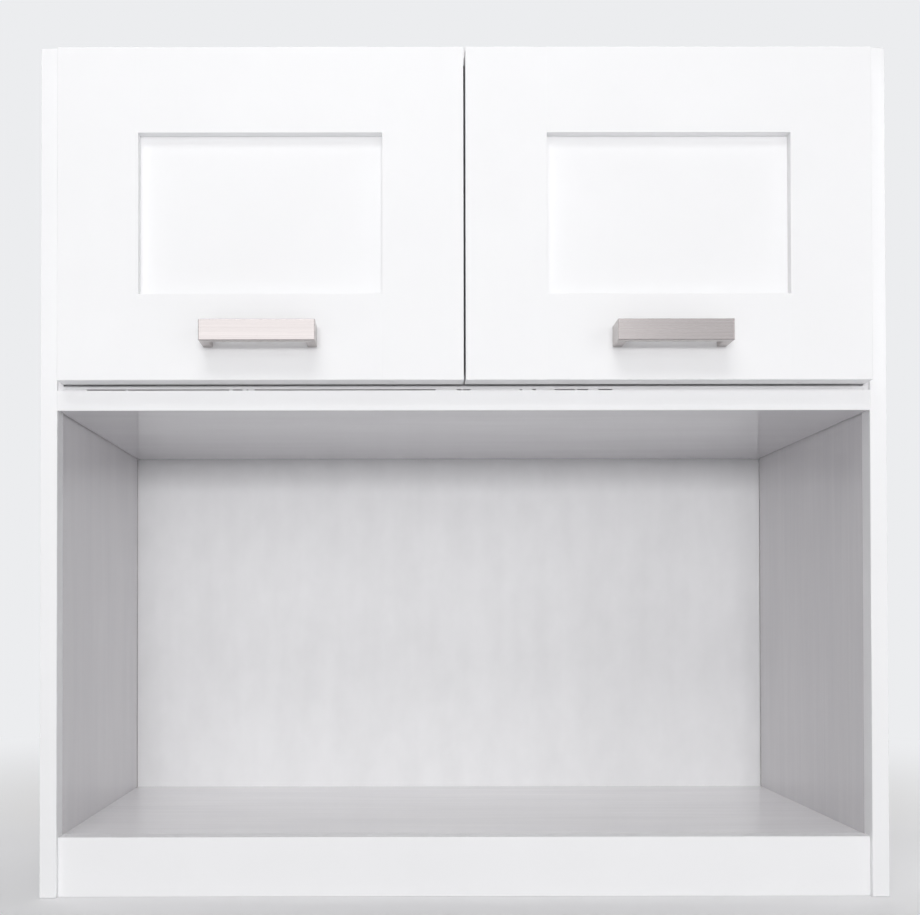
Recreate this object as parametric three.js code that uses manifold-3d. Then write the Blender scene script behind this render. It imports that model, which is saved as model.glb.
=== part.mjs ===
// A microwave wall cabinet: a box with a pair of framed doors, over an open niche for a countertop oven.
// Two full-height gables carry the box above and the shelf below. Everything hangs on three wall rails.
//
// Millimetres, +Z up, +X to the right of someone facing the doors, +Y from the doors towards the wall.
// The cabinet frame has Y = 0 at the gables' front edges. The exported group shifts it, so that the origin
// is the centre of the whole cabinet's outer box in plan, at the level of its underside.

import * as THREE from "three";
import { mergeVertices } from "three/addons/utils/BufferGeometryUtils.js";
import Module from "manifold-3d";

const wasm = await Module();
wasm.setup();

// ---------------------------------------------------------------- driving dimensions

// Niche: the clear space for the oven
const nicheWidth = 762;
const nicheHeight = 400;
const carcassDepth = 355.6;

// Boards
const gableThickness = 15.9;
const boxBoardThickness = 15.9;
const shelfThickness = 19;
const nicheTopThickness = 19;
const stileDepth = 19;
const backThickness = 6;

// Shelf: a deck behind a deep front rail, on bearers
const shelfRailHeight = 55.5;
const shelfRailThickness = 19;
const shelfRailSetback = 5.2;
const bearerWidth = 19;
const bearerHeight = 25;

// Wall rails, behind the backs
const wallRailThickness = 12;
const wallRailHeight = 75;

// Upper box
const boxHeight = 323;
const boxSetback = 2.8;
const backGrooveDepth = 8;

// Doors
const doorThickness = 20;
const doorBackGap = 0.6;
const doorSideReveal = 5;
const doorTopReveal = 8.6;
const doorBottomReveal = 5.4;
const doorCentreGap = 2;
const stileWidth = 75;
const railWidth = 80;
const panelRecess = 9.5;
const panelThickness = 6;
const frameGrooveDepth = 10;
const panelPlay = 1;

// Bar handles
const handleHoleSpacing = 96;
const handleLegWidth = 9;
const handleHeight = 19.4;
const handleProjection = 28;
const handleBarThickness = 8;
const handleEdgeRadius = 0.8;
const handleBoreDepth = 10;

// Handle screws
const screwShankRadius = 2.2;
const screwHeadRadius = 4.2;
const screwHeadHeight = 2.2;
const screwBite = 8;

// Door bumpers
const bumperRadius = 3.4;
const bumperInset = 12;
const bumperClearance = 0.2;

// Cup hinges, two a door. Each turns on one pin that crosses the cup near the door's edge.
const hingeInset = 76;
const cupRadius = 17.5;
const cupDepth = 13;
const cupFloor = 1;
const cupEdgeDistance = 3;
const cupEndWall = 1.4;
const cupMouthHalfWidth = 5.5;
const cupFlangeRadius = 18.8;
const cupFlangeThickness = 1;
const cupWingLength = 29;
const cupWingWidth = 17;
const cupScrewSpacing = 45;
const cupScrewOffset = 9.5;
const cupScrewHeadRadius = 3.6;
const cupScrewHeadHeight = 0.9;
const pinRadius = 1.1;
const pinHalfLength = 9;
const pinInset = 7.1;
const pinDepth = 8.4;
const armEyeRadius = 2.3;
const armThickness = 2;
const armNeckWidth = 9.6;
const armNeckSlope = THREE.MathUtils.degToRad(8);
const armWidth = 15;
const armSideThickness = 1.5;
const armLength = 52;
const armStart = 2.6;
const plateBaseThickness = 2.4;
const plateRidgeHeight = 5.9;
const plateRidgeLength = 30;
const plateWingWidth = 17;
const plateWingHalfLength = 23;
const plateHoleSetback = 37;
const plateHoleSpacing = 32;
const plateScrewHeadRadius = 3.5;
const plateScrewHeadHeight = 1.4;
const plateScrewShankRadius = 2.2;
const plateScrewLength = 11;
const armScrewHeadRadius = 3.4;
const armScrewHeadHeight = 1.8;
const armScrewShankRadius = 2;
const armScrewLength = 6;
const armScrewFromEnd = 10;

// Clearances
const jointClearance = 0.3;
const cutOverrun = 1;

// Facets on round shapes
const cupSegments = 40;
const smallSegments = 20;

// ---------------------------------------------------------------- places worked out from them

const nicheHalf = nicheWidth / 2;
const boxInnerHalf = nicheHalf - boxBoardThickness;
const deckTop = shelfRailHeight;
const deckBottom = deckTop - shelfThickness;
const nicheTop = deckTop + nicheHeight;
const boxBottom = nicheTop + nicheTopThickness;
const boxTop = boxBottom + boxHeight;
const backFront = carcassDepth - wallRailThickness - backThickness;
const backRear = backFront + backThickness;

const doorOuter = nicheHalf - doorSideReveal;
const doorWidth = doorOuter - doorCentreGap / 2;
const doorBottom = boxBottom + doorBottomReveal;
const doorHeight = boxHeight - doorBottomReveal - doorTopReveal;
const panelFront = -doorThickness + panelRecess;
const panelRear = panelFront + panelThickness;

// In a hinge's own frame: u runs from the door's outer edge inwards, y = 0 is the door's back face
const boxFront = boxSetback + doorBackGap;
const sideFace = doorOuter - boxInnerHalf;
const cupCentre = cupEdgeDistance + cupRadius;
const pinHoleRadius = pinRadius + jointClearance;
const plateTop = sideFace + plateBaseThickness;
const ridgeTop = plateTop + plateRidgeHeight;
const armInner = ridgeTop + jointClearance;
const armOuter = armInner + armThickness;
const plateCentre = boxFront + plateHoleSetback;
const armEnd = boxFront + armStart + armLength;
const armScrewPlace = armEnd - armScrewFromEnd;

const handleHalfLength = (handleHoleSpacing + handleLegWidth) / 2;
const handleMiddle = railWidth / 2;

const frontmost = -doorBackGap - doorThickness - handleProjection;

// ---------------------------------------------------------------- materials

const paint = new THREE.MeshStandardMaterial({ color: 0xfafafc, roughness: 0.38, metalness: 0 });
const innerPaint = new THREE.MeshStandardMaterial({ color: 0xeceaee, roughness: 0.32, metalness: 0 });
const backBoard = new THREE.MeshStandardMaterial({ color: 0xe6e4e8, roughness: 0.45, metalness: 0 });
const rawWood = new THREE.MeshStandardMaterial({ color: 0xd9c6a5, roughness: 0.8, metalness: 0 });
const satinNickel = new THREE.MeshStandardMaterial({ color: 0xb9adad, roughness: 0.35, metalness: 1 });
const nickelPlate = new THREE.MeshStandardMaterial({ color: 0xc9c8c6, roughness: 0.25, metalness: 1 });
const zincSteel = new THREE.MeshStandardMaterial({ color: 0xbfc1c4, roughness: 0.4, metalness: 1 });
const clearRubber = new THREE.MeshStandardMaterial({ color: 0xdfe3e6, roughness: 0.3, metalness: 0 });

// ---------------------------------------------------------------- shapes

/** A closed block between two corners. */
function block([x0, x1], [y0, y1], [z0, z1]) {
  const geometry = new THREE.BoxGeometry(Math.abs(x1 - x0), Math.abs(y1 - y0), Math.abs(z1 - z0));
  return geometry.translate((x0 + x1) / 2, (y0 + y1) / 2, (z0 + z1) / 2);
}

/** A cylinder about an axis through a centre. axis is "x", "y" or "z". */
function rod(axis, radius, length, [x, y, z], segments = smallSegments) {
  const geometry = new THREE.CylinderGeometry(radius, radius, length, segments);
  if (axis === "x") geometry.rotateZ(Math.PI / 2);
  if (axis === "z") geometry.rotateX(Math.PI / 2);
  return geometry.translate(x, y, z);
}

/** An outline through the points, in plan, extruded upwards between two heights. */
function upright(points, [z0, z1]) {
  const outline = new THREE.Shape(points.map(([x, y]) => new THREE.Vector2(x, y)));
  const geometry = new THREE.ExtrudeGeometry(outline, { depth: z1 - z0, bevelEnabled: false });
  return geometry.translate(0, 0, z0);
}

/** The outline of a strip of even thickness along an open run of points, with mitred corners. */
function strip(points, thickness) {
  const run = points.map(([x, y]) => new THREE.Vector2(x, y));
  const sides = run.map((point, i) => {
    const before = run[Math.max(i - 1, 0)];
    const after = run[Math.min(i + 1, run.length - 1)];
    const arriving = (i > 0 ? point : after).clone().sub(i > 0 ? before : point).normalize();
    const leaving = (i < run.length - 1 ? after : point).clone().sub(i < run.length - 1 ? point : before).normalize();
    const normal = new THREE.Vector2(-arriving.y - leaving.y, arriving.x + leaving.x).normalize();
    const reach = thickness / 2 / normal.dot(new THREE.Vector2(-arriving.y, arriving.x));
    return normal.multiplyScalar(reach);
  });
  const left = run.map((point, i) => point.clone().add(sides[i]));
  const right = run.map((point, i) => point.clone().sub(sides[i])).reverse();
  return [...left, ...right].map(({ x, y }) => [x, y]);
}

/** A closed geometry as a solid that can be joined and cut. */
function toSolid(geometry) {
  const bare = geometry.clone();
  bare.deleteAttribute("normal");
  bare.deleteAttribute("uv");
  const merged = mergeVertices(bare);
  return new wasm.Manifold(
    new wasm.Mesh({
      numProp: 3,
      vertProperties: merged.attributes.position.array,
      triVerts: new Uint32Array(merged.index.array),
    }),
  );
}

/** The geometries joined into one body, less the cut ones. */
function carve(joined, cut = []) {
  const [first, ...rest] = joined.map(toSolid);
  const whole = rest.reduce((body, piece) => body.add(piece), first);
  const result = cut.map(toSolid).reduce((body, tool) => body.subtract(tool), whole);
  const { vertProperties, triVerts } = result.getMesh();
  const geometry = new THREE.BufferGeometry();
  geometry.setAttribute("position", new THREE.BufferAttribute(vertProperties, 3));
  geometry.setIndex(new THREE.BufferAttribute(triVerts, 1));
  geometry.computeVertexNormals();
  return geometry;
}

/** A named piece. */
function piece(name, geometry, material, place = [0, 0, 0]) {
  const mesh = new THREE.Mesh(geometry, material);
  mesh.name = name;
  mesh.position.set(...place);
  return mesh;
}

/** A plain rectangular board, centred on its own place. */
function board(name, [x0, x1], [y0, y1], [z0, z1], material) {
  const geometry = new THREE.BoxGeometry(x1 - x0, y1 - y0, z1 - z0);
  return piece(name, geometry, material, [(x0 + x1) / 2, (y0 + y1) / 2, (z0 + z1) / 2]);
}

// ---------------------------------------------------------------- carcass

/** An upright side with a groove near its rear edge for the back. inward is +1 on the left, -1 on the right. */
function groovedSide(inward, thickness, [y0, y1], height) {
  const outline = [
    [0, y0],
    [-inward * thickness, y0],
    [-inward * thickness, y1],
    [0, y1],
    [0, backRear + jointClearance],
    [-inward * backGrooveDepth, backRear + jointClearance],
    [-inward * backGrooveDepth, backFront - jointClearance],
    [0, backFront - jointClearance],
  ];
  return upright(outline, [0, height]);
}

/** Full-height gable and the lipping strip on its front edge. */
function gable(side, inward) {
  const innerFace = -inward * nicheHalf;
  const outerFace = innerFace - inward * gableThickness;
  const across = [Math.min(innerFace, outerFace), Math.max(innerFace, outerFace)];
  const group = new THREE.Group();
  const body = groovedSide(inward, gableThickness, [stileDepth, carcassDepth], boxTop);
  group.add(piece(`${side}_gable`, body, innerPaint, [innerFace, 0, 0]));
  group.add(board(`${side}_stile`, across, [0, stileDepth], [0, boxTop], paint));
  return group;
}

/** The open niche between the gables: shelf, back and top. */
function niche() {
  const across = [-nicheHalf, nicheHalf];
  const intoGrooves = nicheHalf + backGrooveDepth - jointClearance;
  const deckFront = shelfRailSetback + shelfRailThickness;
  const bearerUnder = [deckBottom - bearerHeight, deckBottom];
  const rearBearerFront = backFront - bearerWidth;
  const group = new THREE.Group();
  group.add(board("shelf_front_rail", across, [shelfRailSetback, deckFront], [0, shelfRailHeight], paint));
  group.add(board("shelf_deck", across, [deckFront, backFront], [deckBottom, deckTop], innerPaint));
  group.add(board("shelf_rear_bearer", across, [rearBearerFront, backFront], bearerUnder, rawWood));
  for (const [side, inward] of [["left", 1], ["right", -1]]) {
    const outer = -inward * nicheHalf;
    const inner = outer + inward * bearerWidth;
    const width = [Math.min(outer, inner), Math.max(outer, inner)];
    group.add(board(`shelf_${side}_bearer`, width, [deckFront, rearBearerFront], bearerUnder, rawWood));
  }
  group.add(board("niche_top_panel", across, [0, backFront], [nicheTop, boxBottom], paint));
  const backWidth = [-intoGrooves, intoGrooves];
  group.add(board("niche_back_panel", backWidth, [backFront, backRear], [deckBottom, boxBottom], backBoard));
  return group;
}

/** The box behind the doors. */
function upperBox() {
  const group = new THREE.Group();
  const across = [-boxInnerHalf, boxInnerHalf];
  const depth = [boxSetback, backFront];
  const plateHoles = hingeHeights().flatMap((height) =>
    [-1, 1].map((end) => doorBottom + height + (end * plateHoleSpacing) / 2),
  );
  const holeDepth = plateScrewLength + jointClearance;
  for (const [side, inward] of [["left", 1], ["right", -1]]) {
    const body = groovedSide(inward, boxBoardThickness, [boxSetback, carcassDepth], boxHeight);
    const holes = plateHoles.map((z) => {
      const centre = [(-inward * (holeDepth - cutOverrun)) / 2, boxSetback + plateHoleSetback, z - boxBottom];
      return rod("x", plateScrewShankRadius + jointClearance, holeDepth + cutOverrun, centre);
    });
    const place = [-inward * boxInnerHalf, 0, boxBottom];
    group.add(piece(`upper_${side}_side`, carve([body], holes), innerPaint, place));
  }
  group.add(board("upper_bottom", across, depth, [boxBottom, boxBottom + boxBoardThickness], innerPaint));
  group.add(board("upper_top", across, depth, [boxTop - boxBoardThickness, boxTop], innerPaint));
  const intoGrooves = boxInnerHalf + backGrooveDepth - jointClearance;
  group.add(board("upper_back", [-intoGrooves, intoGrooves], [backFront, backRear], [boxBottom, boxTop], backBoard));
  return group;
}

/** The three rails that take the wall screws. */
function wallRails() {
  const rows = [
    ["upper_wall_rail", boxInnerHalf, boxTop - wallRailHeight],
    ["niche_wall_rail", nicheHalf, boxBottom - wallRailHeight],
    ["shelf_wall_rail", nicheHalf, 0],
  ];
  const group = new THREE.Group();
  for (const [name, half, bottom] of rows) {
    group.add(board(name, [-half, half], [backRear, carcassDepth], [bottom, bottom + wallRailHeight], rawWood));
  }
  return group;
}

// ---------------------------------------------------------------- hinges

/** Heights of a door's two hinges above the door's lower edge. */
function hingeHeights() {
  return [hingeInset, doorHeight - hingeInset];
}

/** The cup, let into the door's back, with the two screws that hold its wings. */
function hingeCup(inward) {
  const u = (value) => inward * value;
  const flange = [0, cupFlangeThickness];
  const flangeMiddle = cupFlangeThickness / 2;
  const wing = [u(cupCentre + cupFlangeRadius - cupWingWidth), u(cupCentre + cupFlangeRadius)];
  const heads = [-1, 1].map((end) => {
    const middle = cupFlangeThickness + cupScrewHeadHeight / 2;
    const centre = [u(cupCentre + cupScrewOffset), middle, (end * cupScrewSpacing) / 2];
    return rod("y", cupScrewHeadRadius, cupScrewHeadHeight, centre);
  });
  const mouth = block(
    [u(cupEdgeDistance + cupEndWall), u(cupEdgeDistance + 2 * cupRadius - cupEndWall)],
    [cupFloor - cupDepth, cupFlangeThickness + cutOverrun],
    [-cupMouthHalfWidth, cupMouthHalfWidth],
  );
  return carve(
    [
      rod("y", cupRadius, cupDepth, [u(cupCentre), -cupDepth / 2, 0], cupSegments),
      rod("y", cupFlangeRadius, cupFlangeThickness, [u(cupCentre), flangeMiddle, 0], cupSegments),
      block(wing, flange, [-cupWingLength, cupWingLength]),
      ...heads,
    ],
    [mouth, rod("z", pinHoleRadius, 2 * cupRadius + cutOverrun, [u(pinInset), -pinDepth, 0])],
  );
}

/** The cranked arm: an eye on the pin, a neck out of the cup, and a channel that lies on the plate. */
function hingeArm(inward) {
  const u = (value) => inward * value;
  const topMiddle = armInner + armThickness / 2;
  const knee = [u(topMiddle), -pinDepth - Math.tan(armNeckSlope) * (topMiddle - pinInset)];
  const channelStart = boxFront + armStart;
  const neck = strip([[u(pinInset), -pinDepth], knee, [u(topMiddle), armEnd]], armThickness);
  const flanges = [-1, 1].map((end) =>
    block(
      [u(plateTop + jointClearance), u(armOuter)],
      [channelStart, armEnd],
      [(end * armWidth) / 2, end * (armWidth / 2 - armSideThickness)],
    ),
  );
  return carve(
    [
      rod("z", armEyeRadius, armNeckWidth, [u(pinInset), -pinDepth, 0]),
      upright(neck, [-armNeckWidth / 2, armNeckWidth / 2]),
      block([u(armInner), u(armOuter)], [channelStart, armEnd], [-armWidth / 2, armWidth / 2]),
      ...flanges,
    ],
    [
      rod("z", pinHoleRadius, armNeckWidth + cutOverrun, [u(pinInset), -pinDepth, 0]),
      rod("x", armScrewShankRadius + jointClearance, 2 * armThickness, [u(topMiddle), armScrewPlace, 0]),
    ],
  );
}

/** The mounting plate on the box side, with its two screws, and a ridge that the arm sits over. */
function hingePlate(inward) {
  const u = (value) => inward * value;
  const ridgeHalf = armWidth / 2 - armSideThickness - jointClearance;
  const ridgeEnd = armEnd - armStart;
  const ridgeSpan = [ridgeEnd - plateRidgeLength, ridgeEnd];
  const wingSpan = [plateCentre - plateWingWidth / 2, plateCentre + plateWingWidth / 2];
  const screws = [-1, 1].flatMap((end) => {
    const z = (end * plateHoleSpacing) / 2;
    const headMiddle = plateTop + plateScrewHeadHeight / 2;
    const shankMiddle = plateTop - (plateScrewLength + plateBaseThickness) / 2;
    return [
      rod("x", plateScrewHeadRadius, plateScrewHeadHeight, [u(headMiddle), plateCentre, z]),
      rod("x", plateScrewShankRadius, plateScrewLength + plateBaseThickness, [u(shankMiddle), plateCentre, z]),
    ];
  });
  const boreBottom = ridgeTop - armScrewLength;
  const bore = rod("x", armScrewShankRadius + jointClearance, armScrewLength + cutOverrun, [
    u((boreBottom + ridgeTop + cutOverrun) / 2),
    armScrewPlace,
    0,
  ]);
  return carve(
    [
      block([u(sideFace), u(plateTop)], wingSpan, [-plateWingHalfLength, plateWingHalfLength]),
      block([u(sideFace), u(ridgeTop)], ridgeSpan, [-ridgeHalf, ridgeHalf]),
      ...screws,
    ],
    [bore],
  );
}

/** The screw that clamps the arm to the plate. */
function armScrew(inward) {
  const headMiddle = armOuter + armScrewHeadHeight / 2;
  const tip = ridgeTop - armScrewLength + jointClearance;
  const shankMiddle = (tip + armOuter) / 2;
  return carve([
    rod("x", armScrewHeadRadius, armScrewHeadHeight, [inward * headMiddle, armScrewPlace, 0]),
    rod("x", armScrewShankRadius, armOuter - tip, [inward * shankMiddle, armScrewPlace, 0]),
  ]);
}

/** All of one hinge, in the frame of the door's outer back edge at the hinge's height. */
function hinge(name, inward) {
  const group = new THREE.Group();
  const pin = rod("z", pinRadius, 2 * pinHalfLength, [inward * pinInset, -pinDepth, 0]);
  group.add(piece(`${name}_cup`, hingeCup(inward), nickelPlate));
  group.add(piece(`${name}_pin`, pin, zincSteel));
  group.add(piece(`${name}_arm`, hingeArm(inward), nickelPlate));
  group.add(piece(`${name}_plate`, hingePlate(inward), nickelPlate));
  group.add(piece(`${name}_screw`, armScrew(inward), zincSteel));
  return group;
}

// ---------------------------------------------------------------- doors

/** A door stile: u0 is its outer edge's place. The groove is on the edge that faces the panel. */
function doorStile(inward, u0, grooveEdge, bores) {
  const u1 = u0 + stileWidth;
  const grooveFloor = grooveEdge === u1 ? u1 - frameGrooveDepth : u0 + frameGrooveDepth;
  const grooveMouth = grooveEdge === u1 ? u1 + cutOverrun : u0 - cutOverrun;
  const groove = block(
    [inward * grooveFloor, inward * grooveMouth],
    [panelFront - jointClearance, panelRear + jointClearance],
    [-cutOverrun, doorHeight + cutOverrun],
  );
  const body = block([inward * u0, inward * u1], [-doorThickness, 0], [0, doorHeight]);
  return carve([body], [groove, ...bores]);
}

/** A door rail between two heights, with a tenon at each end. inner is the edge that faces the panel. */
function doorRail(inward, bottom, inner, bores) {
  const top = bottom + railWidth;
  const span = [inward * stileWidth, inward * (doorWidth - stileWidth)];
  const tenonReach = frameGrooveDepth - jointClearance;
  const tenonSpan = [inward * (stileWidth - tenonReach), inward * (doorWidth - stileWidth + tenonReach)];
  const grooveFloor = inner === top ? top - frameGrooveDepth : bottom + frameGrooveDepth;
  const grooveMouth = inner === top ? top + cutOverrun : bottom - cutOverrun;
  const groove = block(
    [tenonSpan[0] - inward * cutOverrun, tenonSpan[1] + inward * cutOverrun],
    [panelFront - jointClearance, panelRear + jointClearance],
    [grooveFloor, grooveMouth],
  );
  const body = block(span, [-doorThickness, 0], [bottom, top]);
  const tenons = block(tenonSpan, [panelFront, panelRear], [bottom, top]);
  return carve([body, tenons], [groove, ...bores]);
}

/** The flat panel, loose in the frame's grooves. */
function doorPanel(name, inward) {
  const reach = frameGrooveDepth - panelPlay;
  const ends = [inward * (stileWidth - reach), inward * (doorWidth - stileWidth + reach)];
  const across = [Math.min(...ends), Math.max(...ends)];
  const heights = [railWidth - reach, doorHeight - railWidth + reach];
  return board(name, across, [panelFront, panelRear], heights, paint);
}

/** A bar handle with a leg at each end, seen from above as a flat C, with eased edges. */
function barHandle(boreCentres, middle) {
  const half = handleHalfLength - handleEdgeRadius;
  const inside = handleHalfLength - handleLegWidth + handleEdgeRadius;
  const foot = -doorThickness - handleEdgeRadius;
  const front = -doorThickness - handleProjection + handleEdgeRadius;
  const barBack = -doorThickness - handleProjection + handleBarThickness - handleEdgeRadius;
  const outline = [
    [-half, foot],
    [-half, front],
    [half, front],
    [half, foot],
    [inside, foot],
    [inside, barBack],
    [-inside, barBack],
    [-inside, foot],
  ];
  const shape = new THREE.Shape(outline.map(([x, y]) => new THREE.Vector2(x, y)));
  const bar = new THREE.ExtrudeGeometry(shape, {
    depth: handleHeight - 2 * handleEdgeRadius,
    bevelEnabled: true,
    bevelThickness: handleEdgeRadius,
    bevelSize: handleEdgeRadius,
    bevelSegments: 2,
  });
  bar.translate(middle, 0, handleMiddle - handleHeight / 2 + handleEdgeRadius);
  const bores = boreCentres.map((x) => {
    const centre = [x, -doorThickness - (handleBoreDepth - cutOverrun) / 2, handleMiddle];
    return rod("y", screwShankRadius + jointClearance, handleBoreDepth + cutOverrun, centre);
  });
  return carve([bar], bores);
}

/** A machine screw through the rail into a handle leg. Its head lies on the door's back. */
function handleScrew(x) {
  const shankLength = doorThickness + screwBite;
  return carve([
    rod("y", screwHeadRadius, screwHeadHeight, [x, screwHeadHeight / 2, handleMiddle]),
    rod("y", screwShankRadius, shankLength, [x, -shankLength / 2, handleMiddle]),
  ]);
}

/** A framed door with its handle, bumpers and hinges, in the frame of its outer, lower, back corner. */
function door(side, inward) {
  const name = `${side}_door`;
  const group = new THREE.Group();
  group.position.set(-inward * doorOuter, -doorBackGap, doorBottom);

  const cupBores = hingeHeights().map((z) =>
    rod(
      "y",
      cupRadius + jointClearance,
      cupDepth + jointClearance + cutOverrun,
      [inward * cupCentre, (cutOverrun - cupDepth - jointClearance) / 2, z],
      cupSegments,
    ),
  );
  const middle = (inward * doorWidth) / 2;
  const legs = [middle - handleHoleSpacing / 2, middle + handleHoleSpacing / 2];
  const screwHoles = legs.map((x) =>
    rod("y", screwShankRadius + jointClearance, doorThickness + 2 * cutOverrun, [x, -doorThickness / 2, handleMiddle]),
  );
  const innerStileEdge = doorWidth - stileWidth;
  const topRailBottom = doorHeight - railWidth;
  group.add(piece(`${name}_outer_stile`, doorStile(inward, 0, stileWidth, cupBores), paint));
  group.add(piece(`${name}_inner_stile`, doorStile(inward, innerStileEdge, innerStileEdge, []), paint));
  group.add(piece(`${name}_top_rail`, doorRail(inward, topRailBottom, topRailBottom, []), paint));
  group.add(piece(`${name}_bottom_rail`, doorRail(inward, 0, railWidth, screwHoles), paint));
  group.add(doorPanel(`${name}_panel`, inward));
  group.add(piece(`${side}_handle`, barHandle(legs, middle), satinNickel));
  legs.forEach((x, i) => {
    const place = (i === 0) === (inward > 0) ? "outer" : "inner";
    group.add(piece(`${side}_handle_${place}_screw`, handleScrew(x), zincSteel));
  });

  const bumperThickness = boxFront - bumperClearance;
  const lowBumper = (boxBoardThickness - doorBottomReveal) / 2;
  const highBumper = doorHeight - (boxBoardThickness - doorTopReveal) / 2;
  for (const [level, z] of [["lower", lowBumper], ["upper", highBumper]]) {
    const centre = [inward * (doorWidth - bumperInset), bumperThickness / 2, z];
    group.add(piece(`${name}_${level}_bumper`, rod("y", bumperRadius, bumperThickness, centre), clearRubber));
  }

  hingeHeights().forEach((z, i) => {
    const level = i === 0 ? "lower" : "upper";
    const placed = hinge(`${side}_${level}_hinge`, inward);
    placed.position.set(0, 0, z);
    group.add(placed);
  });
  return group;
}

// ---------------------------------------------------------------- assembly

const cabinet = new THREE.Group();
cabinet.add(gable("left", 1), gable("right", -1), niche(), upperBox(), wallRails());
cabinet.add(door("left", 1), door("right", -1));
cabinet.position.y = -(frontmost + carcassDepth) / 2;

const group = new THREE.Group();
group.add(cabinet);

export default group;
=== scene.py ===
"""Looks of a microwave wall cabinet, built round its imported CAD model.

Each piece is placed by the CAD node that it stands for. Metres, in the model's own frame: +X to the right of
someone facing the doors, +Y from the doors towards the wall, +Z up, and Z = 0 at the cabinet's underside.
"""

from __future__ import annotations

import logging
import math
from collections.abc import Callable, Iterable
from dataclasses import dataclass, field
from enum import Enum

import bmesh
import bpy
from mathutils import Matrix, Vector

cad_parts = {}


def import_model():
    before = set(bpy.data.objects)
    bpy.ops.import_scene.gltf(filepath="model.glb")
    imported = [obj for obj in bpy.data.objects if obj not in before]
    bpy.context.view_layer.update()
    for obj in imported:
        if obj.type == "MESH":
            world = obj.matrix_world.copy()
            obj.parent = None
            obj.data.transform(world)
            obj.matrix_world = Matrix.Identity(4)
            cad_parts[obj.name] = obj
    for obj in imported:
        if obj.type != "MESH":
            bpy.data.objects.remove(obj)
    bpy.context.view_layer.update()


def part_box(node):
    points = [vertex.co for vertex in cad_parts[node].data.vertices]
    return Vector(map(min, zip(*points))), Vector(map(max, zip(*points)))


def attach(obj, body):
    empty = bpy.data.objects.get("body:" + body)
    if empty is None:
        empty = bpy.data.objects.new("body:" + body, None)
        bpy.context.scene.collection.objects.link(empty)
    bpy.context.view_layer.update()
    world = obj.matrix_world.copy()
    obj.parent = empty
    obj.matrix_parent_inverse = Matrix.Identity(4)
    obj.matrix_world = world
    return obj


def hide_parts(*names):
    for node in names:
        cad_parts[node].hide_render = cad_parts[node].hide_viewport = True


log = logging.getLogger("microwave_cabinet")

MM = 0.001
REACH = 10 * MM  # how far a cutter runs past the surface that it opens
CLEAR = 1 * MM  # how far off a surface a drill starts
DOUBLES = 0.001 * MM  # corners closer than this are merged
NEAR = 1e-6  # places closer than this count as the same
FACING = 0.99  # the share of a normal along a direction, above which a face looks that way
ROUGHLY = 0.9  # the same for a finish, which then takes in the flattest part of a rounded edge

Piece = bpy.types.Object
Tree = bpy.types.NodeTree
Socket = bpy.types.NodeSocket
PointTest = Callable[[Vector, Vector], bool]


# ---------------------------------------------------------------- named options


class Side(Enum):
    """A side of the cabinet. The value is the way inwards along X."""

    LEFT = 1
    RIGHT = -1

    @property
    def label(self) -> str:
        """The side's word in the names of pieces."""
        return self.name.lower()

    def outer(self, low: Vector, high: Vector) -> float:
        """X of the face of a box that looks away from the cabinet's middle."""
        return low.x if self is Side.LEFT else high.x

    def inner(self, low: Vector, high: Vector) -> float:
        """X of the face of a box that looks towards the cabinet's middle."""
        return high.x if self is Side.LEFT else low.x


class Axis(Enum):
    """An axis of the model's frame. The value is its place in a vector."""

    X = 0
    Y = 1
    Z = 2

    @property
    def unit(self) -> Vector:
        """A vector of length one along the axis."""
        return Vector([float(place == self.value) for place in range(3)])


class Level(Enum):
    """One of two pieces that sit one over the other. The value is its word in their names."""

    LOWER = "lower"
    UPPER = "upper"


class End(Enum):
    """The end of a door or a handle at the hinges, or the one at the middle. The value is its word in names."""

    OUTER = "outer"
    INNER = "inner"


class Rail(Enum):
    """A level member of a door's frame. The value is its word in names."""

    TOP = "top"
    BOTTOM = "bottom"


class Element(Enum):
    """What is selected in a mesh. The value is Blender's word for it."""

    FACES = "FACE"
    EDGES = "EDGE"


class Joining(Enum):
    """What other bodies do to a piece. The value is Blender's word for it."""

    ADD = "UNION"
    CUT = "DIFFERENCE"


# ---------------------------------------------------------------- finishes


def linear(colour: str) -> tuple[float, float, float, float]:
    """Turn an sRGB hex colour to the linear one that a shader takes.

    Args:
        colour: six hex digits after a hash

    Returns:
        Red, green, blue and full alpha, linear.
    """
    shares = [int(colour[place : place + 2], 16) / 255 for place in (1, 3, 5)]
    red, green, blue = (s / 12.92 if s <= 0.04045 else ((s + 0.055) / 1.055) ** 2.4 for s in shares)
    return red, green, blue, 1.0


def add(tree: Tree, kind: str, sockets: dict | None = None, **settings: object) -> bpy.types.Node:
    """Add a node with its settings and links.

    Args:
        tree: the node tree that takes it
        kind: Blender's own name for the kind of node
        sockets: by input name or number, a value or the output that feeds it
        settings: the node's own attributes

    Returns:
        The new node.
    """
    node = tree.nodes.new(kind)
    for name, value in settings.items():
        setattr(node, name, value)
    for key, value in (sockets or {}).items():
        if isinstance(value, Socket):
            tree.links.new(value, node.inputs[key])
        else:
            node.inputs[key].default_value = value
    return node


def along(axis: Axis, times: float) -> tuple[float, float, float]:
    """How much longer a patch of grain is along an axis than across it, for each axis."""
    return tuple(times if place is axis else 1.0 for place in Axis)


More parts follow.
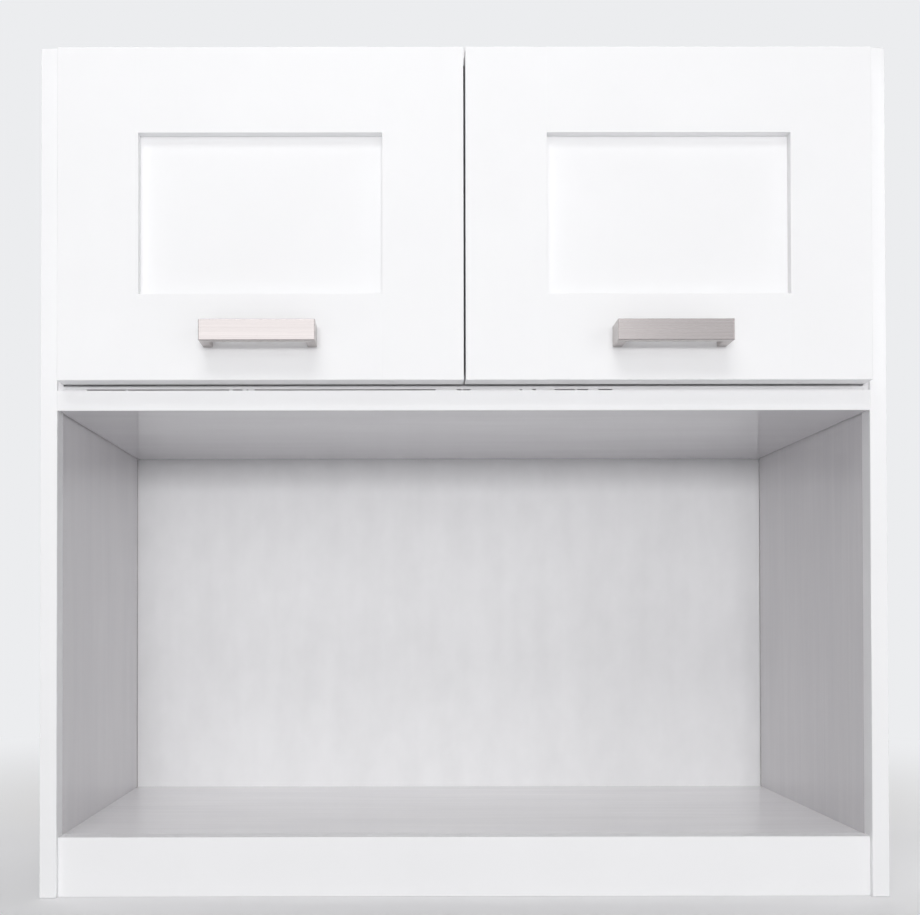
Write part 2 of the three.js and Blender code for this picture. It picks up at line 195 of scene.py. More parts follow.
@dataclass(frozen=True)
class Finish:
    """A named finish that makes its material once."""

    name: str

    def material(self) -> bpy.types.Material:
        """Make the material, or find it if it is made already.

        Returns:
            The material.
        """
        made = bpy.data.materials.get(self.name)
        if made is None:
            made = bpy.data.materials.new(self.name)
            made.use_nodes = True
            made.node_tree.nodes.clear()
            shader = self.shade(made.node_tree)
            add(made.node_tree, "ShaderNodeOutputMaterial", {"Surface": shader})
        return made

    def shade(self, tree: Tree) -> Socket:
        """Build the nodes in a tree and return the shader's output. Each kind of finish has its own way."""
        raise NotImplementedError

    @staticmethod
    def patch(tree: Tree, size: float, stretch: tuple[float, float, float] = (1, 1, 1),
              **sockets: object) -> Socket:
        """A noise on object coordinates.

        Args:
            tree: the node tree that takes it
            size: how wide one patch of the noise is, in metres
            stretch: how many times longer a patch is along each axis
            sockets: the noise's other inputs, by name

        Returns:
            The noise's value.
        """
        place = add(tree, "ShaderNodeTexCoord").outputs["Object"]
        scale = [1 / length for length in stretch]
        drawn = add(tree, "ShaderNodeMapping", {"Vector": place, "Scale": scale})
        inputs = {"Vector": drawn.outputs["Vector"], "Scale": 1 / size, **sockets}
        return add(tree, "ShaderNodeTexNoise", inputs).outputs["Fac"]

    @staticmethod
    def surface(tree: Tree, share: Socket, tones: tuple[str, str], height: Socket, relief: tuple[float, float],
                sockets: dict) -> Socket:
        """A shader whose colour lies between two tones, over a fine relief.

        Args:
            tree: the node tree that takes it
            share: how much of the second tone shows, from 0 to 1
            tones: the two colours, sRGB hex
            height: the relief's height
            relief: how strongly the relief turns the light, and how deep it is in metres
            sockets: the shader's other inputs, by name

        Returns:
            The shader's output.
        """
        mixed = {"Factor": share, 6: linear(tones[0]), 7: linear(tones[1])}
        colour = add(tree, "ShaderNodeMix", mixed, data_type="RGBA").outputs[2]
        bumps = {"Height": height, "Strength": relief[0], "Distance": relief[1]}
        normal = add(tree, "ShaderNodeBump", bumps).outputs["Normal"]
        inputs = {"Base Color": colour, "Normal": normal, **sockets}
        return add(tree, "ShaderNodeBsdfPrincipled", inputs).outputs["BSDF"]


@dataclass(frozen=True)
class SprayedLacquer(Finish):
    """White catalysed lacquer, sprayed and left satin: an even white with a soft sheen and a faint orange peel."""

    colour: str = "#f9f9fa"
    shade_colour: str = "#f4f4f5"
    roughness: float = 0.38
    roughness_spread: float = 0.05
    drift: float = 120 * MM
    sheen_patch: float = 45 * MM
    peel: float = 1.8 * MM
    peel_depth: float = 0.02 * MM

    def shade(self, tree: Tree) -> Socket:
        """Build the nodes.

        Args:
            tree: the material's node tree

        Returns:
            The shader's output.
        """
        drift = self.patch(tree, self.drift, Detail=3.0)
        sheen = add(tree, "ShaderNodeMapRange", {
            "Value": self.patch(tree, self.sheen_patch),
            "To Min": self.roughness - self.roughness_spread, "To Max": self.roughness + self.roughness_spread,
        })
        peel = self.patch(tree, self.peel, Detail=1.0)
        sockets = {"Roughness": sheen.outputs["Result"], "IOR": 1.5}
        return self.surface(tree, drift, (self.shade_colour, self.colour), peel, (0.25, self.peel_depth), sockets)


@dataclass(frozen=True)
class RolledPaint(Finish):
    """White semi-gloss paint rolled over veneered board: fine streaks along the grain show in tone and gloss. The
    default tones are greyer than the white paint: painted shade.
    """

    grain: Axis = Axis.Z
    # The default tones, which the niche walls take, are darkened below the paint's white as painted shade.
    colour: str = "#dfdddf"
    streak_colour: str = "#d8d6d9"
    roughness: float = 0.17
    dull: float = 0.05
    bright: float = 0.04
    streak: float = 2.6 * MM
    streak_length: float = 60.0
    band: float = 26 * MM
    band_length: float = 8.0
    streak_depth: float = 0.01 * MM

    def shade(self, tree: Tree) -> Socket:
        """Build the nodes.

        Args:
            tree: the material's node tree

        Returns:
            The shader's output.
        """
        fine = self.patch(tree, self.streak, along(self.grain, self.streak_length), Detail=3.0, Roughness=0.6)
        broad = self.patch(tree, self.band, along(self.grain, self.band_length), Detail=2.0)
        mixed = add(tree, "ShaderNodeMath", {0: fine, 1: broad}, operation="ADD").outputs[0]
        share = add(tree, "ShaderNodeMapRange", {"Value": mixed, "From Min": 0.72, "From Max": 1.28})
        gloss = add(tree, "ShaderNodeMapRange", {
            "Value": fine, "From Min": 0.3, "From Max": 0.7,
            "To Min": self.roughness + self.dull, "To Max": self.roughness - self.bright,
        })
        sockets = {"Roughness": gloss.outputs["Result"], "IOR": 1.5}
        tones = (self.streak_colour, self.colour)
        return self.surface(tree, share.outputs["Result"], tones, fine, (0.2, self.streak_depth), sockets)


@dataclass(frozen=True)
class PlyEdge(Finish):
    """Sawn edge of birch plywood: pale plies and darker end-grain plies lie across the board in turn."""

    across: Axis = Axis.X
    pale: str = "#dcc7a1"
    dark: str = "#b08e62"
    ply: float = 1.55 * MM
    pore: float = 0.9 * MM
    pore_depth: float = 0.15 * MM

    def shade(self, tree: Tree) -> Socket:
        """Build the nodes.

        Args:
            tree: the material's node tree

        Returns:
            The shader's output.
        """
        place = add(tree, "ShaderNodeTexCoord").outputs["Object"]
        # A band texture repeats every 2 pi / 20 units at scale 1, and a pair of plies makes one repeat.
        lines = {"Vector": place, "Scale": 2 * math.pi / (20 * 2 * self.ply), "Distortion": 0.4, "Detail": 1.0}
        bands = add(tree, "ShaderNodeTexWave", lines, bands_direction=self.across.name).outputs["Fac"]
        pores = self.patch(tree, self.pore, Detail=2.0)
        mixed = add(tree, "ShaderNodeMath", {0: bands, 1: pores}, operation="MULTIPLY").outputs[0]
        share = add(tree, "ShaderNodeMapRange", {"Value": mixed, "From Min": 0.08, "From Max": 0.5})
        sockets = {"Roughness": 0.75, "IOR": 1.5}
        tones = (self.dark, self.pale)
        return self.surface(tree, share.outputs["Result"], tones, mixed, (0.4, self.pore_depth), sockets)


@dataclass(frozen=True)
class PlanedPine(Finish):
    """Planed pine, unpainted: each year's thin darker ring shows as a line along the board, over a fine fibre."""

    grain: Axis = Axis.X
    heart: tuple[float, float, float] = (0.0, 0.0, 0.0)  # a point on the middle of the tree
    pale: str = "#e5d2ab"
    ring: str = "#c9a674"
    ring_spacing: float = 4.5 * MM
    ring_stretch: float = 16.0
    fibre: float = 0.7 * MM
    fibre_length: float = 40.0
    fibre_depth: float = 0.12 * MM

    def shade(self, tree: Tree) -> Socket:
        """Build the nodes.

        Args:
            tree: the material's node tree

        Returns:
            The shader's output.
        """
        place = add(tree, "ShaderNodeTexCoord").outputs["Object"]
        scale = [1 / length for length in along(self.grain, self.ring_stretch)]
        centre = [-share * part for share, part in zip(scale, self.heart)]
        drawn = add(tree, "ShaderNodeMapping", {"Vector": place, "Scale": scale, "Location": centre})
        # A ring texture repeats every 2 pi / 20 units at scale 1.
        circles = {
            "Vector": drawn.outputs["Vector"], "Scale": 2 * math.pi / (20 * self.ring_spacing),
            "Distortion": 11.0, "Detail": 3.0, "Detail Scale": 0.55, "Detail Roughness": 0.5,
        }
        rings = add(tree, "ShaderNodeTexWave", circles, wave_type="RINGS", rings_direction=self.grain.name)
        late = add(tree, "ShaderNodeMath", {0: rings.outputs["Fac"], 1: 2.5}, operation="POWER").outputs[0]
        fibre = self.patch(tree, self.fibre, along(self.grain, self.fibre_length), Detail=3.0)
        depth = {"Value": fibre, "From Min": 0.3, "From Max": 0.7, "To Min": 0.55, "To Max": 1.0}
        broken = add(tree, "ShaderNodeMapRange", depth).outputs["Result"]
        share = add(tree, "ShaderNodeMath", {0: late, 1: broken}, operation="MULTIPLY").outputs[0]
        sockets = {"Roughness": 0.68, "IOR": 1.5}
        return self.surface(tree, share, (self.pale, self.ring), fibre, (0.35, self.fibre_depth), sockets)


@dataclass(frozen=True)
class PeeledVeneer(Finish):
    """Birch veneer peeled from the log, unpainted: a soft wavy figure with short fine pores along the grain."""

    grain: Axis = Axis.Z
    pale: str = "#dfcba5"
    dark: str = "#c9b088"
    figure: float = 19 * MM
    figure_length: float = 9.0
    pore: float = 0.8 * MM
    pore_length: float = 22.0
    pore_depth: float = 0.08 * MM

    def shade(self, tree: Tree) -> Socket:
        """Build the nodes.

        Args:
            tree: the material's node tree

        Returns:
            The shader's output.
        """
        waves = {"Detail": 4.0, "Roughness": 0.55, "Distortion": 0.7}
        figure = self.patch(tree, self.figure, along(self.grain, self.figure_length), **waves)
        pores = self.patch(tree, self.pore, along(self.grain, self.pore_length), Detail=2.0)
        mixed = add(tree, "ShaderNodeMath", {0: figure, 1: pores}, operation="ADD").outputs[0]
        share = add(tree, "ShaderNodeMapRange", {"Value": mixed, "From Min": 0.75, "From Max": 1.25})
        sockets = {"Roughness": 0.62, "IOR": 1.5}
        tones = (self.dark, self.pale)
        return self.surface(tree, share.outputs["Result"], tones, pores, (0.3, self.pore_depth), sockets)


@dataclass(frozen=True)
class BrushedNickel(Finish):
    """Zinc casting plated with nickel and brushed along its length: a warm grey metal with fine drawn lines."""

    colour: str = "#b1abaa"
    light: str = "#b8b2b1"
    roughness: float = 0.24
    dull: float = 0.04
    bright: float = 0.03
    # Real brush lines are about 0.1 mm apart; these are drawn at 0.2 mm so that they show.
    line: float = 0.2 * MM
    line_length: float = 1500.0
    line_depth: float = 0.008 * MM

    def shade(self, tree: Tree) -> Socket:
        """Build the nodes.

        Args:
            tree: the material's node tree

        Returns:
            The shader's output.
        """
        lines = self.patch(tree, self.line, along(Axis.X, self.line_length), Detail=0.0)
        spread = {"Value": lines, "From Min": 0.3, "From Max": 0.7}
        share = add(tree, "ShaderNodeMapRange", spread).outputs["Result"]
        ends = {"To Min": self.roughness + self.dull, "To Max": self.roughness - self.bright}
        gloss = add(tree, "ShaderNodeMapRange", {**spread, **ends}).outputs["Result"]
        sockets = {"Metallic": 1.0, "Roughness": gloss}
        return self.surface(tree, share, (self.colour, self.light), lines, (0.12, self.line_depth), sockets)


@dataclass(frozen=True)
class PlatedSteel(Finish):
    """Pressed steel, plated: bright metal with a slightly cloudy tone from the plating bath."""

    colour: str = "#c9c7c3"
    cloud: str = "#b7b6b4"
    roughness: float = 0.22
    dull: float = 0.06
    bright: float = 0.03
    cloud_size: float = 5 * MM
    grit: float = 0.5 * MM
    grit_depth: float = 0.02 * MM

    def shade(self, tree: Tree) -> Socket:
        """Build the nodes.

        Args:
            tree: the material's node tree

        Returns:
            The shader's output.
        """
        cloudy = self.patch(tree, self.cloud_size, Detail=4.0)
        gloss = add(tree, "ShaderNodeMapRange", {
            "Value": cloudy, "From Min": 0.3, "From Max": 0.7,
            "To Min": self.roughness + self.dull, "To Max": self.roughness - self.bright,
        })
        grit = self.patch(tree, self.grit)
        sockets = {"Metallic": 1.0, "Roughness": gloss.outputs["Result"]}
        return self.surface(tree, cloudy, (self.cloud, self.colour), grit, (0.15, self.grit_depth), sockets)


@dataclass(frozen=True)
class ClearBumper(Finish):
    """Cast clear polyurethane: a soft, slightly milky dot that lets the paint behind it show."""

    colour: str = "#f2f4f4"
    milk: str = "#dfe4e6"
    milk_patch: float = 2 * MM

    def shade(self, tree: Tree) -> Socket:
        """Build the nodes.

        Args:
            tree: the material's node tree

        Returns:
            The shader's output.
        """
        mixed = {
            "Factor": self.patch(tree, self.milk_patch, Detail=2.0), 6: linear(self.milk), 7: linear(self.colour),
        }
        colour = add(tree, "ShaderNodeMix", mixed, data_type="RGBA").outputs[2]
        sockets = {"Base Color": colour, "Roughness": 0.22, "IOR": 1.49, "Transmission Weight": 0.75}
        return add(tree, "ShaderNodeBsdfPrincipled", sockets).outputs["BSDF"]


@dataclass(frozen=True)
class StudioPaper(Finish):
    """Matt background paper, paler to the eye than it bounces, that fades into the backdrop further out."""

    colour: str = "#dfdfe1"
    seen_colour: str = "#f5f5f6"
    backdrop: str = "#ecedef"
    fibre: float = 1.5 * MM
    fade_from: float = 0.35
    fade_to: float = 1.6

    def shade(self, tree: Tree) -> Socket:
        """Build the nodes.

        Args:
            tree: the material's node tree

        Returns:
            The shader's output.
        """
        ray = add(tree, "ShaderNodeLightPath").outputs
        direct = {0: ray["Is Camera Ray"], 1: ray["Is Glossy Ray"]}
        seen = add(tree, "ShaderNodeMath", direct, operation="MAXIMUM").outputs[0]
        mixed = {"Factor": seen, 6: linear(self.colour), 7: linear(self.seen_colour)}
        tone = add(tree, "ShaderNodeMix", mixed, data_type="RGBA").outputs[2]
        speckle = {"Value": self.patch(tree, self.fibre, Detail=2.0), "To Min": 0.97, "To Max": 1.0}
        fibres = add(tree, "ShaderNodeMapRange", speckle).outputs["Result"]
        colour = add(tree, "ShaderNodeVectorMath", {0: tone, "Scale": fibres}, operation="SCALE").outputs[0]
        matt = {"Base Color": colour, "Roughness": 0.9, "IOR": 1.4}
        paper = add(tree, "ShaderNodeBsdfPrincipled", matt).outputs["BSDF"]
        glow = {"Color": linear(self.backdrop), "Strength": 1.0}
        far = add(tree, "ShaderNodeEmission", glow).outputs["Emission"]
        place = add(tree, "ShaderNodeTexCoord").outputs["Object"]
        distance = add(tree, "ShaderNodeVectorMath", {0: place}, operation="LENGTH").outputs["Value"]
        ends = {"Value": distance, "From Min": self.fade_from, "From Max": self.fade_to}
        share = add(tree, "ShaderNodeMapRange", ends, interpolation_type="SMOOTHSTEP").outputs["Result"]
        fade = add(tree, "ShaderNodeMath", {0: share, 1: seen}, operation="MULTIPLY").outputs[0]
        return add(tree, "ShaderNodeMixShader", {0: fade, 1: paper, 2: far}).outputs["Shader"]


LACQUER = SprayedLacquer("sprayed_white_lacquer")
# The niche walls' paint keeps the default grey tones: painted shade over the white paint.
WALL_PAINT_AND_SHADE = RolledPaint("rolled_paint_on_niche_walls", grain=Axis.Z)
# The ceiling's grey, darker than the walls', is painted shade over the white paint.
CEILING_PAINT_AND_SHADE = RolledPaint(
    "rolled_paint_on_niche_ceiling", grain=Axis.X, colour="#d3d1d4", streak_colour="#cdcbce", roughness=0.08
)
DECK_PAINT = RolledPaint(
    "rolled_paint_on_shelf", grain=Axis.X, colour="#f8f7f8", streak_colour="#f1f0f2", roughness=0.22
)
BOX_PAINT = RolledPaint(
    "rolled_paint_level_grain", grain=Axis.X, colour="#f1f0f2", streak_colour="#eae9eb", roughness=0.42
)
SIDE_PAINT = RolledPaint(
    "rolled_paint_upright_grain", grain=Axis.Z, colour="#f3f2f4", streak_colour="#edecee", roughness=0.36
)
BACK_PAINT = RolledPaint(
    "rolled_paint_on_back_board", grain=Axis.Z, colour="#f7f7f8", streak_colour="#f2f2f3", roughness=0.42,
    streak=22 * MM, streak_length=1.6,
)
UPRIGHT_PLY = PlyEdge("sawn_plywood_edge_upright", across=Axis.X)
LEVEL_PLY = PlyEdge("sawn_plywood_edge_level", across=Axis.Z)
BACK_VENEER = PeeledVeneer("unpainted_birch_veneer")
NICKEL = BrushedNickel("brushed_nickel_plate")
BRIGHT_NICKEL = PlatedSteel("nickel_plated_pressed_steel")
ZINC = PlatedSteel(
    "zinc_plated_screw_steel", colour="#c4c6c8", cloud="#aeb2b0", roughness=0.34, cloud_size=2 * MM
)
BUMPER = ClearBumper("clear_polyurethane")
PAPER = StudioPaper("studio_paper")


# ---------------------------------------------------------------- modelling by hand


class Bench:
    """Modelling steps on one piece at a time, done with Blender's own operators."""

    @staticmethod
    def clear() -> None:
        """Leave edit mode and deselect everything."""
        active = bpy.context.view_layer.objects.active
        if active is not None and active.mode != "OBJECT":
            bpy.ops.object.mode_set(mode="OBJECT")
        bpy.ops.object.select_all(action="DESELECT")

    @classmethod
    def take(cls, piece: Piece) -> None:
        """Select one piece alone and make it the active one.

        Args:
            piece: the piece
        """
        cls.clear()
        piece.select_set(True)
        bpy.context.view_layer.objects.active = piece

    @classmethod
    def settle(cls, piece: Piece) -> Piece:
        """Put a piece's place, turn and size into its mesh.

        Args:
            piece: the piece

        Returns:
            The same piece.
        """
        cls.take(piece)
        bpy.ops.object.transform_apply(location=True, rotation=True, scale=True)
        return piece

    @classmethod
    def started(cls, name: str) -> Piece:
        """Name the primitive that was just added, and settle it.

        Args:
            name: its name and its mesh's

        Returns:
            The piece.
        """
        piece = bpy.context.active_object
        piece.name = name
        piece.data.name = name
        return cls.settle(piece)

    @classmethod
    def block(cls, name: str, low: Iterable[float], high: Iterable[float]) -> Piece:
        """Start a piece as a box.

        Args:
            name: the piece's name
            low: its lowest corner
            high: its highest corner

        Returns:
            The piece, with its place in its mesh.
        """
        low, high = Vector(low), Vector(high)
        cls.clear()
        bpy.ops.mesh.primitive_cube_add(size=1, location=(low + high) / 2)
        bpy.context.active_object.scale = high - low
        return cls.started(name)

    @classmethod
    def rod(cls, name: str, axis: Axis, radius: float, start: Iterable[float], length: float,
            end_radius: float | None = None, sides: int = 24) -> Piece:
        """Start a piece as a round bar or a cone.

        Args:
            name: the piece's name
            axis: the way it points
            radius: its radius at the start
            start: the middle of its first end
            length: how far it runs along the axis, backwards if below zero
            end_radius: its radius at the other end, if it tapers
            sides: how many flats it has round

        Returns:
            The piece, with its place in its mesh.
        """
        cls.clear()
        centre = Vector(start) + axis.unit * (length / 2)
        way = axis.unit * math.copysign(1, length)
        bpy.ops.mesh.primitive_cone_add(
            vertices=sides, radius1=radius, radius2=radius if end_radius is None else end_radius,
            depth=abs(length), location=centre, rotation=way.to_track_quat("Z", "Y").to_euler(),
        )
        return cls.started(name)

    @classmethod
    def pick(cls, piece: Piece, kind: Element, wanted: PointTest) -> None:
        """Go into edit mode and select the wanted faces or edges.

        Args:
            piece: the piece that is worked
            kind: what is selected
            wanted: whether a face of that centre and normal is, or an edge between two points
        """
        cls.take(piece)
        bpy.ops.object.mode_set(mode="EDIT")
        bpy.ops.mesh.select_mode(type=kind.value)
        bpy.ops.mesh.select_all(action="DESELECT")
        mesh = bmesh.from_edit_mesh(piece.data)
        if kind is Element.FACES:
            chosen = [face for face in mesh.faces if wanted(face.calc_center_median(), face.normal)]
        else:
            chosen = [edge for edge in mesh.edges if wanted(edge.verts[0].co, edge.verts[1].co)]
        for element in chosen:
            element.select_set(True)
        bmesh.update_edit_mesh(piece.data)

    @classmethod
    def ease(cls, piece: Piece, radius: float, wanted: PointTest, steps: int = 3) -> None:
        """Round over the edges whose two ends are wanted.

        Args:
            piece: the piece that is worked
            radius: the radius of the rounding
            wanted: whether an edge between two points is rounded
            steps: how many facets the rounding has
        """
        cls.pick(piece, Element.EDGES, wanted)
        bpy.ops.mesh.bevel(offset=radius, offset_type="OFFSET", segments=steps, profile=0.5, affect="EDGES")
        cls.clear()

    @classmethod
    def pull(cls, piece: Piece, wanted: PointTest, way: Vector, shrink: Iterable[float] = (1, 1, 1)) -> None:
        """Extrude the wanted faces.

        Args:
            piece: the piece that is worked
            wanted: whether a face of that centre and normal is extruded
            way: how far it goes
            shrink: how the new end is scaled about its own middle
        """
        cls.pick(piece, Element.FACES, wanted)
        bpy.ops.mesh.extrude_region_move(TRANSFORM_OT_translate={"value": way})
        bpy.ops.transform.resize(value=shrink)
        cls.clear()

    @classmethod
    def split(cls, piece: Piece, wanted: PointTest, axis: Axis, places: Iterable[float]) -> None:
        """Split the wanted faces at places along an axis.

        Args:
            piece: the piece that is worked
            wanted: whether a face of that centre and normal is split
            axis: the axis that the cuts are square to
            places: where the cuts are along it
        """
        for place in places:
            cls.pick(piece, Element.FACES, wanted)
            bpy.ops.mesh.bisect(plane_co=axis.unit * place, plane_no=axis.unit)
        cls.clear()

    @classmethod
    def join(cls, pieces: list[Piece]) -> Piece:
        """Make several loose bodies one object.

        Args:
            pieces: the bodies, of which the first takes in the others

        Returns:
            The first one.
        """
        cls.clear()
        for piece in pieces:
            piece.select_set(True)
        bpy.context.view_layer.objects.active = pieces[0]
        if len(pieces) > 1:
            bpy.ops.object.join()
        return pieces[0]

    @classmethod
    def combine(cls, piece: Piece, others: list[Piece], joining: Joining) -> None:
        """Add other bodies to a piece, or cut them out of it.

        Args:
            piece: the piece that is worked
            others: bodies that don't touch each other, which are used up
            joining: which of the two it is
        """
        tool = cls.join(others)
        cls.take(piece)
        step = piece.modifiers.new("combine", "BOOLEAN")
        step.operation, step.object, step.solver = joining.value, tool, "EXACT"
        bpy.ops.object.modifier_apply(modifier=step.name)
        bpy.data.objects.remove(tool)

    @classmethod
    def cut(cls, piece: Piece, *tools: Piece) -> None:
        """Cut bodies that don't touch each other out of a piece."""
        cls.combine(piece, list(tools), Joining.CUT)

    @classmethod
    def fuse(cls, piece: Piece, *others: Piece) -> None:
        """Join bodies to a piece, one after the other."""
        for other in others:
            cls.combine(piece, [other], Joining.ADD)

    @classmethod
    def twin(cls, piece: Piece, name: str, placing: Matrix) -> Piece:
        """Copy a piece.

        Args:
            piece: the piece that is copied
            name: the copy's name
            placing: where the copy goes, as a matrix on the piece's own place

        Returns:
            The copy, with its own mesh.
        """
        copy = piece.copy()
        copy.data = piece.data.copy()
        copy.name = name
        copy.data.name = name
        bpy.context.scene.collection.objects.link(copy)
        copy.matrix_world = placing
        cls.settle(copy)
        bpy.ops.object.mode_set(mode="EDIT")
        bpy.ops.mesh.select_all(action="SELECT")
        bpy.ops.mesh.normals_make_consistent(inside=False)
        cls.clear()
        return copy

    @classmethod
    def polish(cls, piece: Piece) -> None:
        """Merge doubles, and smooth the rounded edges while the flats stay flat.

        Args:
            piece: the finished shape
        """
        cls.take(piece)
        bpy.ops.object.mode_set(mode="EDIT")
        bpy.ops.mesh.select_all(action="SELECT")
        bpy.ops.mesh.remove_doubles(threshold=DOUBLES)
        bpy.ops.object.mode_set(mode="OBJECT")
        bpy.ops.object.shade_smooth_by_angle(angle=math.radians(40))
        step = piece.modifiers.new("even_normals", "WEIGHTED_NORMAL")
        step.keep_sharp = True
        bpy.ops.object.modifier_apply(modifier=step.name)


def same(start: float, end: float, place: float) -> bool:
    """Whether two numbers are both at a place."""
    return abs(start - place) < NEAR and abs(end - place) < NEAR


def outer_edge(low: Vector, high: Vector) -> PointTest:
    """A test for the outer edges of a box from its lowest to its highest corner: they lie on two of its faces."""
    faces = [(place, corner[place]) for place in range(3) for corner in (low, high)]
    return lambda start, end: sum(same(start[place], end[place], face) for place, face in faces) >= 2


def edge_at(**places: float) -> PointTest:
    """A test for the edges that lie at given places.

    Args:
        places: x, y or z and the value that both ends have there

    Returns:
        Whether an edge lies there.
    """
    return lambda start, end: all(
        same(getattr(start, axis), getattr(end, axis), value) for axis, value in places.items()
    )


def facing(way: Vector, place: float | None = None) -> PointTest:
    """A test for the faces that look one way.

    Args:
        way: a unit vector
        place: how far along it the face's centre lies, if that matters

    Returns:
        Whether a face does so.
    """
    return lambda centre, normal: normal.dot(way) > FACING and (
        place is None or abs(centre.dot(way) - place) < NEAR
    )


def looking(*ways: Vector) -> PointTest:
    """A test for the faces that look roughly one of several ways."""
    return lambda _, normal: any(normal.dot(way) > ROUGHLY for way in ways)


def upright(start: Vector, end: Vector) -> bool:
    """Whether an edge climbs at all."""
    return abs(start.z - end.z) > NEAR


def across(start: Vector, end: Vector) -> bool:
    """Whether an edge runs sideways at all."""
    return abs(start.x - end.x) > NEAR


def inwards(start: Vector, end: Vector) -> bool:
    """Whether an edge runs from front to back at all."""
    return abs(start.y - end.y) > NEAR


def middle_of(node: str) -> Vector:
    """The middle of a CAD node's box."""
    low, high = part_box(node)
    return (low + high) / 2


# ---------------------------------------------------------------- the cabinet's pieces


@dataclass
class SubAssembly:
    """Pieces that ride on one body of the model."""

    body: str = "carcass"

    def hand_over(self, piece: Piece, finish: Finish, slot: str, *nodes: str) -> None:
        """Finish a piece and give it its place in the model.

        Args:
            piece: the finished shape
            finish: what its surface is made of
            slot: not used
            nodes: the CAD nodes that it stands for
        """
        Bench.polish(piece)
        if piece.data.materials:
            piece.data.materials[0] = finish.material()
        else:
            piece.data.materials.append(finish.material())
        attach(piece, self.body)
        if nodes:
            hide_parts(*nodes)
        log.info("%s: %d faces, %s, on %s", piece.name, len(piece.data.polygons), finish.name, self.body)

    @staticmethod
    def face_with(piece: Piece, finish: Finish, wanted: PointTest) -> None:
        """Give some faces of a piece another finish than the rest.

        Args:
            piece: the piece, which gets the finish of the rest later
            finish: the finish of those faces
            wanted: whether a face of that centre and normal has it
        """
        materials = piece.data.materials
        if not materials:
            materials.append(None)
        materials.append(finish.material())
        for face in piece.data.polygons:
            if wanted(face.center, face.normal):
                face.material_index = len(materials) - 1

    @staticmethod
    def eased_board(node: str, arris: float, name: str | None = None) -> Piece:
        """A board in a node's place with all its arrises broken.

        Args:
            node: the CAD node whose box it fills
            arris: the radius of its edges
            name: the piece's name, or else the node's with _board after it

        Returns:
            The board.
        """
        low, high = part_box(node)
        board = Bench.block(name or f"{node}_board", low, high)
        Bench.ease(board, arris, outer_edge(low, high))
        return board

    @staticmethod
    def cut_back_groove(board: Piece, side: Side, node: str, back: str, play: float) -> None:
        """Cut the groove in an upright board that a back stands in.

        Args:
            board: the board that is worked
            side: the side of the cabinet that it is on
            node: the board's CAD node
            back: the back's CAD node
            play: the room round the back
        """
        low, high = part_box(node)
        back_low, back_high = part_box(back)
        floor = side.outer(back_low, back_high) - side.value * play
        mouth = side.inner(low, high) + side.value * REACH
        near = (min(floor, mouth), back_low.y - play, low.z - REACH)
        Bench.cut(board, Bench.block("groove", near, (max(floor, mouth), back_high.y + play, high.z + REACH)))


@dataclass
class Battens(SubAssembly):
    """Lengths of planed pine, each sawn from a place of its own in its tree."""

    places: tuple[tuple[str, Axis], ...] = ()
    arris: float = 0.8 * MM
    # From a batten's middle to its tree's in millimetres, and how far that slips along the grain between battens.
    heart_offset: tuple[float, float, float] = (-24, 38, -31)
    heart_drift: float = 0.13

    def build(self) -> None:
        """Model the battens."""
        for node, grain in self.places:
            heart = middle_of(node) + Vector(self.heart_offset) * MM
            heart[grain.value] = self.heart_drift * (heart.x + heart.z)
            pine = PlanedPine(f"planed_pine_{node}", grain=grain, heart=tuple(heart))
            self.hand_over(self.eased_board(node, self.arris, f"{node}_batten"), pine, "raw_wood", node)


SHELF_BEARERS = Battens(
    places=(("shelf_rear_bearer", Axis.X), ("shelf_left_bearer", Axis.Y), ("shelf_right_bearer", Axis.Y))
)
WALL_RAILS = Battens(
    places=tuple((f"{place}_wall_rail", Axis.X) for place in ("upper", "niche", "shelf")), arris=1.2 * MM
)


@dataclass(frozen=True)
class Screw:
    """A screw that points along +Z, with its head's top at Z = 0. Shares are of the head's radius or height."""

    head_radius: float
    head_height: float
    shank_radius: float
    length: float
    countersunk: bool = False
    rim: float = 0.3 * MM
    dome: float = 0.42
    tip: float = 0.6  # of the shank's radius
    recess_reach: float = 0.56
    recess_width: float = 0.14
    recess_depth: float = 0.75
    deepest: float = 1.6 * MM
    recess_foot: float = 0.6  # of the recess's mouth

    def model(self, name: str) -> Piece:
        """Model the screw.

        Args:
            name: the piece's name

        Returns:
            The screw.
        """
        top, up = facing(Axis.Z.unit), Axis.Z.unit
        first = self.rim if self.countersunk else self.head_height
        screw = Bench.rod(name, Axis.Z, self.head_radius, (0, 0, 0), first, sides=32)
        if self.countersunk:
            share = self.shank_radius / self.head_radius
            Bench.pull(screw, top, up * (self.head_height - self.rim), (share, share, 1))
        else:
            Bench.pick(screw, Element.FACES, top)
            bpy.ops.mesh.inset(thickness=self.head_radius - self.shank_radius)
            Bench.clear()
        tip = self.tip * self.shank_radius
        Bench.pull(screw, facing(up, self.head_height), up * (self.length - tip))
        Bench.pull(screw, top, up * tip, (0.5, 0.5, 1))
        if not self.countersunk:
            Bench.ease(screw, self.dome * self.head_height, edge_at(z=0), steps=4)
        self.cut_recess(screw)
        return screw

    def cut_recess(self, screw: Piece) -> None:
        """Cut the cross for the driver into the head.

        Args:
            screw: the screw that is worked
        """
        reach, width = self.recess_reach * self.head_radius, self.recess_width * self.head_radius
        depth = min(self.recess_depth * self.head_height, self.deepest)
        for wide, high in ((reach, width), (width, reach)):
            wing = Bench.block("recess", (-wide, -high, -REACH), (wide, high, 0))
            Bench.pull(wing, facing(Axis.Z.unit), Axis.Z.unit * depth, (self.recess_foot, self.recess_foot, 1))
            Bench.cut(screw, wing)

    def driven(self, name: str, seat: Iterable[float], axis: Axis) -> Piece:
        """Model the screw where it is driven in, backwards along an axis.

        Args:
            name: the piece's name
            seat: where the middle of its head's top is
            axis: the axis

        Returns:
            The screw.
        """
        screw = self.model(name)
        turn = (-axis.unit).to_track_quat("Z", "Y").to_matrix().to_4x4()
        screw.matrix_world = Matrix.Translation(Vector(seat)) @ turn
        return Bench.settle(screw)


